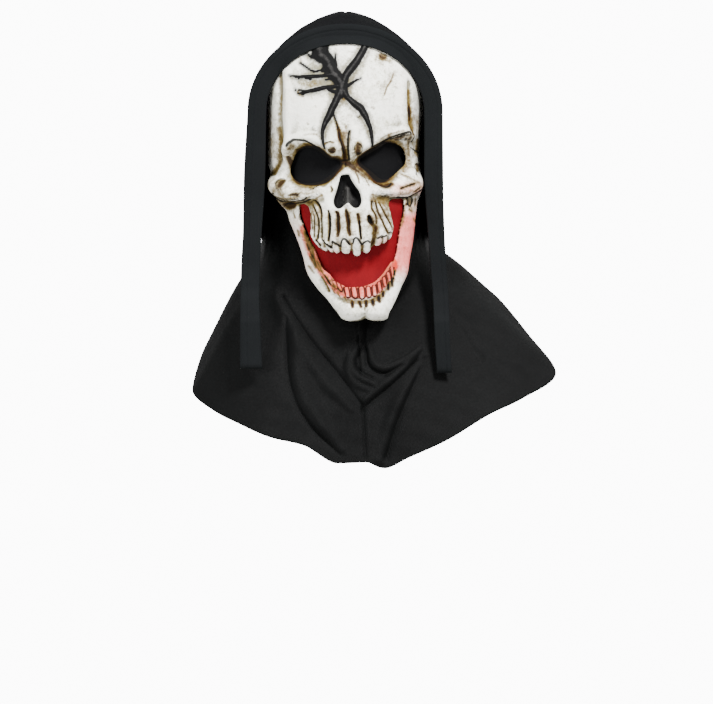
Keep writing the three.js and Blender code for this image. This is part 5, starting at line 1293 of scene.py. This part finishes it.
# %% [markdown]
# ## The hood
# A hood is cut from two side panels and sewn over the crown. Filled out, it is a row of arches from the
# face to the nape: straight sides below, a superellipse over the top. The table below has one row for each
# arch. Small wrinkles and the crown seam are added across and along the arches.

# %% Arches of the hood
# along, top y, top z, end y, end z, half width, square, straight share
ARCHES = np.array([
    [0.00, -79, -19.5, -62, -284, 103, 2.0, 0.62],
    [0.14, -45, -4.0, -50, -274, 101, 1.8, 0.60],
    [0.27, -10, 1.5, -36, -264, 99, 1.7, 0.58],
    [0.40, 30, -6.0, -22, -255, 98, 1.7, 0.54],
    [0.53, 65, -30, -6, -246, 97, 1.8, 0.48],
    [0.66, 92, -70, 10, -243, 96, 1.9, 0.40],
    [0.78, 106, -120, 24, -241, 95, 2.0, 0.30],
    [0.88, 108, -170, 36, -240, 93, 2.0, 0.22],
    [1.00, 95, -238, 46, -240, 91, 2.1, 0.12],
])
HOOD_WALL, FLARE = 0.0015, 2


def hood_surface(side, back):
    """An arch: below the corner a straight side of the given share of its height; above it the half width
    times sin(angle)^(2/square) and the height share straight + (1 - straight) cos(angle)^(2/square)."""
    top_y, top_z, end_y, end_z, half, square, straight = (between(ARCHES, k, back) for k in range(1, 8))
    off = np.abs(side)
    angle = np.clip(off / 0.5, 0, 1) * np.pi / 2
    power = 2 / square
    low_share = straight * (1 - off) / 0.5
    high_share = straight + (1 - straight) * np.clip(np.cos(angle), 0, 1) ** power
    share = np.where(off > 0.5, low_share, high_share)
    out = np.where(off > 0.5, half + FLARE * (1 - low_share / straight), half * np.sin(angle) ** power)
    x = np.sign(side) * out
    y = end_y + share * (top_y - end_y)
    z = end_z + share * (top_z - end_z)
    return np.stack([x, y, z], -1) / 1000


HOOD_COLUMNS, HOOD_ROWS, HOOD_SPAN = 221, 110, 0.30
S, B = np.meshgrid(np.linspace(-1, 1, HOOD_COLUMNS), np.linspace(0, 1, HOOD_ROWS))
hood_points = hood_surface(S, B)
print("hood, mm:", np.round(1000 * np.ptp(hood_points.reshape(-1, 3), 0)))

# %% Small waves, and which way is out
WAVE_COUNT = 6


def waves(p, seed, size):
    """A smooth random height from -1 to 1: a few sine waves in random directions and phases."""
    random = np.random.default_rng(seed)
    total = 0
    for _ in range(WAVE_COUNT):
        way = random.normal(size=3)
        way /= np.linalg.norm(way) * size * random.uniform(0.7, 1.4)
        total = total + np.sin(p @ way * 2 * np.pi + random.uniform(0, 6.3))
    return total / WAVE_COUNT


def grid_normals(points, ring=False):
    """Cross product of the differences along the grid's rows and columns."""
    if ring:
        across = np.roll(points, -1, 1) - np.roll(points, 1, 1)
    else:
        across = np.gradient(points, axis=1)
    down = np.gradient(points, axis=0)
    normal = np.cross(across, down)
    return normal / np.maximum(np.linalg.norm(normal, axis=-1, keepdims=True), 1e-12)


HOOD_CENTRE = np.array([0, 0.010, -0.120])
hood_out = grid_normals(hood_points)
hood_out *= np.sign(((hood_points - HOOD_CENTRE) * hood_out).sum(-1, keepdims=True))
print("the hood's front edge at the crown faces", np.round(hood_out[0, HOOD_COLUMNS // 2], 2))

# %% Wrinkle and sew the hood
calm = ease(B, 0, 0.08) * (1 - ease(B, 0.94, 1)) * (1 - ease(np.abs(S), 0.93, 1))
wrinkle = 1.1 * waves(hood_points, 3, 0.06) + 0.5 * waves(hood_points, 5, 0.022)
crown_seam = -1.2 * np.exp(-((hood_points[..., 0] / 0.0016) ** 2)) * (hood_points[..., 2] > -0.2)
hood_points = hood_points + hood_out * ((wrinkle * calm + crown_seam) / 1000)[..., None]
hood = make_piece(
    "hood_sewn", hood_points, grid_faces(*S.shape), hood_cloth,
    uv=np.stack([S * HOOD_SPAN, B * HOOD_SPAN], -1),
)
thicken(hood, HOOD_WALL)
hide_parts("hood")

# %% [markdown]
# ## The face band
# A doubled strip of jersey is sewn round the face opening and laps over the mask's edge, because that is
# what holds the plastic to the cloth. Above it is an arch between two half ellipses, below it two free
# lappets that hang down over the cowl. One row of stitches runs along its outer seam.

# %% Edges of the band
# z, face edge, seam edge, back y, in mm, from the free end up
LAPPETS = {
    -1: np.array([
        [-383, -87, -110.5, -74], [-339, -89, -110.5, -72], [-307, -90.5, -110.5, -69],
        [-276, -90, -110, -66],
        [-237, -88, -108, -67], [-183, -84.5, -107, -70], [-112, -83, -103, -73.5]]),
    1: np.array([
        [-387, 96.5, 112, -80], [-339, 93.5, 110, -76], [-307, 92.5, 109, -71], [-276, 90, 107, -67],
        [-237, 87, 105, -67], [-183, 83.5, 103.5, -70], [-112, 83, 103, -73.5]]),
}
ARCH = dict(z=-112, face_half=83, face_rise=70, seam_half=103, seam_rise=92.5, side_y=-73.5, top_y=-79.3)
SIDE, OVER, ACROSS = 90, 130, 24


def band_edges():
    """Face edge and seam edge of the strip at each station, and its back's depth: the lappets' tables, and
    between them half * cos(angle), rise * sin(angle)."""
    rows = []
    for sign in (-1, 1):
        table = LAPPETS[sign]
        z = np.linspace(table[0, 0], ARCH["z"], SIDE, endpoint=False)
        lappet = np.stack([between(table, 1, z), z, between(table, 2, z), z, between(table, 3, z)], -1)
        rows.append(lappet if sign < 0 else lappet[::-1])
    angle = np.linspace(np.pi, 0, OVER)
    cos, sin = np.cos(angle), np.sin(angle)
    over = np.stack([
        ARCH["face_half"] * cos, ARCH["z"] + ARCH["face_rise"] * sin,
        ARCH["seam_half"] * cos, ARCH["z"] + ARCH["seam_rise"] * sin,
        ARCH["side_y"] + (ARCH["top_y"] - ARCH["side_y"]) * sin,
    ], -1)
    return np.vstack([rows[0], over, rows[1]]) / 1000


edges = band_edges()
print("stations along the band:", len(edges))

# %% Swell, stitches and round ends
BAND_WALL, BAND_OVER_MASK, BAND_WIDE = 0.003, 0.0016, 0.021
STITCH, STITCH_ROW, ROUNDING = 0.0042, 0.68, 0.004
T = np.linspace(0, 1, ACROSS + 1)
strip_x = edges[:, 0, None] + (edges[:, 2] - edges[:, 0])[:, None] * T
strip_z = edges[:, 1, None] + (edges[:, 3] - edges[:, 1])[:, None] * T
back_y = np.minimum(edges[:, 4, None] + 0 * T, dome_depth(strip_x, strip_z) - BAND_OVER_MASK)
run = np.concatenate([[0], np.cumsum(np.hypot(np.diff(edges[:, 2]), np.diff(edges[:, 3])))])
swell = 0.45 + 0.55 * (1 - np.abs(2 * T - 1) ** 5) + 0.22 * np.exp(-(((T - 0.05) / 0.06) ** 2))
swell = swell - 0.25 * np.exp(-(((T - STITCH_ROW) / 0.03) ** 2))
stitch = 0.1 * np.sin(run * 2 * np.pi / STITCH)[:, None] * np.exp(-(((T - STITCH_ROW) / 0.05) ** 2))
ripple = 0.12 * waves(np.stack([strip_x, 0 * strip_x, strip_z], -1), 11, 0.03)
thick = BAND_WALL * (swell + stitch + ripple)
from_end = np.clip(np.minimum(run, run[-1] - run) / ROUNDING, 0, 1)
round_ends = np.sqrt(np.clip(1 - (1 - from_end) ** 2, 0.02, 1))
front_y = back_y - thick * round_ends[:, None]
front = np.stack([strip_x, front_y, strip_z], -1)
rear = np.stack([strip_x, back_y, strip_z], -1)
print("length of the band, mm:", round(1000 * float(run[-1])))


# %% Close the band
def slab(front, back):
    """A closed body between two grids of the same size: both grids' faces and a strip round their edges."""
    rows, columns = front.shape[:2]
    faces = grid_faces(rows, columns)
    count = rows * columns
    index = np.arange(count).reshape(rows, columns)
    rim = np.concatenate([index[0, :-1], index[:-1, -1], index[-1, :0:-1], index[:0:-1, 0]])
    following = np.roll(rim, -1)
    wall = np.stack([rim, rim + count, following + count, following], -1)
    points = np.concatenate([front.reshape(-1, 3), back.reshape(-1, 3)])
    return points, np.concatenate([faces, faces[:, ::-1] + count, wall])


band_points, band_faces = slab(front, rear)
band_uv = np.stack(np.broadcast_arrays(T * BAND_WIDE, run[:, None]), -1)
band = make_piece("face_band", band_points, band_faces, band_cloth, uv=np.concatenate([band_uv, band_uv]))
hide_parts("hood_band")

# %% [markdown]
# ## The cowl
# The cowl is one wide piece of jersey that starts behind the jaw, narrows to a neck and spreads from there
# to a curved hem. Along each angle round the neck a smooth curve goes through four points: the edge behind
# the jaw, the neck, a point half way, and the hem. It could be dropped as simulated cloth, but the folds
# have to lie at given places, so they are drawn.

# %% Loops of the cowl
# angle from the front, then the height on the mask's rim as a share
RIM_EDGE = np.array([[0, 0.035], [20, 0.10], [40, 0.20], [60, 0.33], [75, 0.44]])
# angle, then x, y, z in mm
NAPE_EDGE = np.array([
    [75, 83, -33, -197], [95, 90, 5, -190], [120, 76, 45, -192], [150, 43, 76, -198], [180, 0, 84, -205],
])
# angle, then z in mm
NECK_Z = np.array([
    [0, -345], [25, -328], [45, -302], [65, -280], [85, -266], [110, -256], [140, -252], [180, -250],
])
# angle, then x, y, z in mm
HEM = np.array([
    [-180, 0, 118, -330], [-154, -55, 105, -305], [-132, -85, 80, -290], [-112, -108, 40, -285],
    [-102, -120, 22, -310], [-84, -154, -5, -368], [-72, -163, -25, -406], [-62, -142, -50, -426],
    [-50, -114, -70, -440], [-36, -78, -85, -455], [-23, -44, -88, -463], [-12, -8, -88, -482],
    [0, 22, -88, -481], [8, 42, -88, -487], [16, 67, -88, -476], [28, 107, -82, -458],
    [42, 153, -68, -431], [54, 190, -45, -414], [66, 226, -15, -388], [78, 197, 5, -346],
    [88, 160, 20, -302], [106, 112, 42, -270], [130, 90, 80, -275], [152, 60, 105, -300],
    [180, 0, 118, -330],
])
RIM_ENDS, COWL_GAP = 75, 0.00085


def cowl_loops(turn):
    """The four points of the curve at each angle: rim edge or nape edge, neck ellipse, middle and hem."""
    off, sign = np.abs(turn), np.sign(turn)
    up = between(RIM_EDGE, 1, off)
    rim, middle = dome(sign * np.pi / 2, up), dome(0 * turn, up)
    chin = ease(off, 0, 22)
    jaw = np.stack([middle[:, 0] + (rim[:, 0] - middle[:, 0]) * chin, rim[:, 1] + COWL_GAP, rim[:, 2]], -1)
    out, behind, height = (between(NAPE_EDGE, k, off) for k in (1, 2, 3))
    nape = np.stack([sign * out, behind, height], -1) / 1000
    top = np.where((off <= RIM_ENDS)[:, None], jaw, nape)
    angle = np.radians(turn)
    ahead = np.cos(angle)
    neck = np.stack([
        93 * np.sin(angle) + 14 * np.maximum(0, ahead) ** 2, 5 - np.where(ahead > 0, 78, 76) * ahead,
        between(NECK_Z, 1, off),
    ], -1) / 1000
    hem = np.stack([between(HEM, k, turn) for k in (1, 2, 3)], -1) / 1000
    half_way = neck + 0.46 * (hem - neck)
    half_way[:, 2] += 0.009 * (1 - np.maximum(0, ahead))
    half_way[:, 1] -= 0.004 * np.maximum(0, ahead)
    return np.stack([top, neck, half_way, hem], 1)


def curve_through(stations, t):
    """Centripetal Catmull-Rom curves: between two points the spacing is the square root of their distance."""
    before = 2 * stations[:, :1] - stations[:, 1:2]
    after = 2 * stations[:, -1:] - stations[:, -2:-1]
    p = np.concatenate([before, stations, after], 1)
    spot = np.clip(t * 3, 0, 3 - 1e-9)
    k = spot.astype(int)
    w = (spot - k)[:, None, None]
    x0, x1, x2, x3 = (np.moveaxis(p[:, k + j], 0, 1) for j in range(4))
    d0, d1, d2 = (
        np.maximum(np.sqrt(np.linalg.norm(b - a, axis=-1, keepdims=True)), 1e-4)
        for a, b in ((x0, x1), (x1, x2), (x2, x3))
    )
    t1 = ((x1 - x0) / d0 - (x2 - x0) / (d0 + d1) + (x2 - x1) / d1) * d1
    t2 = ((x2 - x1) / d1 - (x3 - x1) / (d1 + d2) + (x3 - x2) / d2) * d1
    return x1 + t1 * w + (3 * (x2 - x1) - 2 * t1 - t2) * w**2 + (2 * (x1 - x2) + t1 + t2) * w**3


COWL_COLUMNS, COWL_ROWS, COWL_DROP, COWL_WALL = 300, 120, 0.3, 0.0015
column_side = np.linspace(-1, 1, COWL_COLUMNS + 1)[:-1]
turns = 180 * (0.6 * column_side + 0.4 * column_side**3)
shares = np.linspace(0, 1, COWL_ROWS)
cowl_points = curve_through(cowl_loops(turns), shares)
print("cowl before its folds, mm:", np.round(1000 * np.ptp(cowl_points.reshape(-1, 3), 0)))

# %% [markdown]
# ## Folds of the cowl
# A fold of thin jersey is a round ridge with a sharper crease beside it, and it is lower towards its ends.
# So ridges and creases are lines on the front drawing, with a height and a half width as the bone has.
# Folds show only on the front, and smaller ripples from waves lie over the free part of the cloth.

# %% Ridges and creases
# height in mm, [x, z, half width] on the front drawing: a ridge is round, and a crease beside it is sharp
COWL_FOLDS = [
    (4.6, [[-70, 62, 9], [-46, 12, 9], [-20, -28, 8], [6, -58, 2.6]]),
    (-4, [[-62, 54, 3], [-35, 12, 3], [-10, -18, 2.8], [15, -50, 1.8]]),
    (4, [[-50, 20, 4], [-47, -24, 9], [-35, -56, 9], [-4, -98, 4]]),
    (-3.8, [[-58.5, 34, 2], [-58, -3, 3], [-55, -30, 3], [-46, -56, 3], [-30, -79, 3], [-5, -102, 2]]),
    (4.4, [[76, 4, 2], [55, -19, 4.6], [36, -35, 4.4], [19, -49, 2.4]]),
    (-3.6, [[72, -9, 1.6], [52, -28, 2.8], [34, -43, 2.6], [18, -58, 2.2]]),
    (3.6, [[76, -12, 3], [59, -40, 7], [46, -70, 7], [34, -108, 6]]),
    (-3.8, [[80, -6, 2], [66, -38, 3], [53, -68, 3], [41, -106, 3]]),
    (3.6, [[23, 9, 2], [28, -10, 3.4], [40, -16, 3.6], [58, -8, 3.4], [74, 4, 1.6]]),
    (-3, [[22, 2, 2.2], [25, -15, 2.6], [40, -22, 2.4], [58, -13, 1.4]]),
    (3.6, [[14, 9, 2], [6, -9, 3.4], [12, -23, 3.4], [29, -32, 2]]),
    (-3, [[16, 2, 2], [12, -10, 2.4], [17, -21, 2.4], [28, -27, 1.8]]),
    (2.6, [[4, 0, 1.6], [2, -16, 3.2], [10, -31, 3.2], [26, -39, 1.8]]),
    (-3, [[21, 30, 3], [21, 4, 3], [20.6, -14, 2]]),
    (-3, [[17, -52, 2.4], [19, -80, 2.6], [20, -106, 2.6]]),
    (2.2, [[106, 46, 3], [122, 16, 8], [137, -10, 2]]),
    (-1.8, [[114, 34, 1.6], [124, 15, 3.4], [133, 0, 1.6]]),
    (3, [[-104, 46, 2], [-128, 4, 6], [-149, -34, 3]]),
]
RIDGE_POWER, CREASE_POWER = 2, 1.3
print("ridges and creases:", len(COWL_FOLDS))

# %% The cowl
spots = drawn(cowl_points)
lift = sum(
    height * bell(spots, smooth_line(line), RIDGE_POWER if height > 0 else CREASE_POWER, 1)
    for height, line in COWL_FOLDS
)
seen = ease(-cowl_points[..., 1], 0.015, 0.045)
small = 1.2 * waves(cowl_points * [1, 1, 0.6], 21, 0.05) + 0.5 * waves(cowl_points, 22, 0.02)
free = ease(shares, 0.3, 0.5)[:, None]
cowl_points[..., 1] -= (lift * seen + small * free) / 1000
# painted shade: 1 at the cowl's top edge, fading to 0 by 0.42 of the way to the hem
deep = np.broadcast_to(1 - ease(shares, 0.16, 0.42)[:, None], cowl_points.shape[:2])
cowl_uv = np.stack(np.broadcast_arrays(turns[None, :] / 360, shares[:, None] * COWL_DROP), -1)
cowl = make_piece(
    "cowl_draped", cowl_points, grid_faces(*cowl_points.shape[:2], ring=True), cowl_cloth,
    uv=cowl_uv, deep=deep,
)
thicken(cowl, COWL_WALL)
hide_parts("cowl")

# %% [markdown]
# ## Flat sizes of the cloth
# The table gives each sheet's size before it was shaped, how many layers it has, how it is held and what it
# rests on, and the flat size is printed beside the area. The flat sizes are estimates of the rectangles that
# such pieces are cut from, and the areas are measured on the meshes, one layer of each.

# %% Flat sizes
for piece, flat, layers, held, rests in (
    (hood, (0.62, 0.36), 1, "stretched", ["hood_band"]),
    (band, (0.85, 0.05), 2, "folded", ["mask_shell"]),
    (cowl, (0.62, 0.34), 1, "draped", ["hood"]),
    (mouth, (0.16, 0.15), 1, "hung", ["mask_shell"]),
    (eye_patches[0], (0.08, 0.06), 1, "stretched", ["mask_shell"]),
    (eye_patches[1], (0.08, 0.06), 1, "stretched", ["mask_shell"]),
):
    area = area_of(piece) / layers
    print(piece.name, "area, cm2:", round(1e4 * area, 1), "of", round(1e4 * flat[0] * flat[1], 1))

# %% [markdown]
# ## Floor, light and the end
# A pale floor far below, an even room, a large soft light from the upper right and a weaker one from the
# left: the shadow of the brows falls into the sockets, and the black cloth still shows its folds. The room
# looks twelve times brighter than it lights, by a switch for rays that come straight from the camera. So
# the background is white, while the paint keeps its depth.

# %% Floor
ground = Bench("floor")
floor_tone = ground.mix(linear(236, 236, 234), linear(228, 228, 226), ground.noise(ground.place(), 3))
floor_paint = ground.finished(Base_Color=floor_tone, Roughness=0.9)
FLOOR_SIZE, FLOOR_Z = 6, -1.6
bpy.ops.mesh.primitive_plane_add(size=FLOOR_SIZE, location=(0, 0, FLOOR_Z))
floor = bpy.context.object
floor.name = "floor"
floor.data.materials.append(floor_paint)

# %% The room
ROOM_LIGHT, ROOM_SEEN = 1.0, 12
world = bpy.data.worlds.new("room")
bpy.context.scene.world = world
world.use_nodes = True
sky = world.node_tree.nodes["Background"].inputs
sky["Color"].default_value = linear(252, 252, 252)
ray = world.node_tree.nodes.new("ShaderNodeLightPath")
strength = world.node_tree.nodes.new("ShaderNodeMapRange")
strength.inputs["To Min"].default_value = ROOM_LIGHT
strength.inputs["To Max"].default_value = ROOM_SEEN
world.node_tree.links.new(ray.outputs["Is Camera Ray"], strength.inputs["Value"])
world.node_tree.links.new(strength.outputs["Result"], sky["Strength"])
print("the room is seen at", ROOM_SEEN / ROOM_LIGHT, "times its light")


# %% Two soft lights


def soft_light(name, place, aim, size, power):
    """A square area light at a place, turned towards an aim."""
    light = bpy.data.objects.new(name, bpy.data.lights.new(name, "AREA"))
    light.data.size, light.data.energy = size, power
    light.location = place
    way = np.array(aim) - np.array(place)
    flat_way = np.hypot(way[0], way[1])
    light.rotation_euler = (np.arctan2(flat_way, -way[2]), 0, np.arctan2(-way[0], way[1]))
    bpy.context.scene.collection.objects.link(light)
    print(name, "light, watts:", power)


MASK_MIDDLE = (0, 0, -0.25)
soft_light("key", (0.8, -1.6, 1.5), MASK_MIDDLE, 0.5, 200)
soft_light("fill", (-1.6, -1.5, 0.2), MASK_MIDDLE, 0.9, 45)
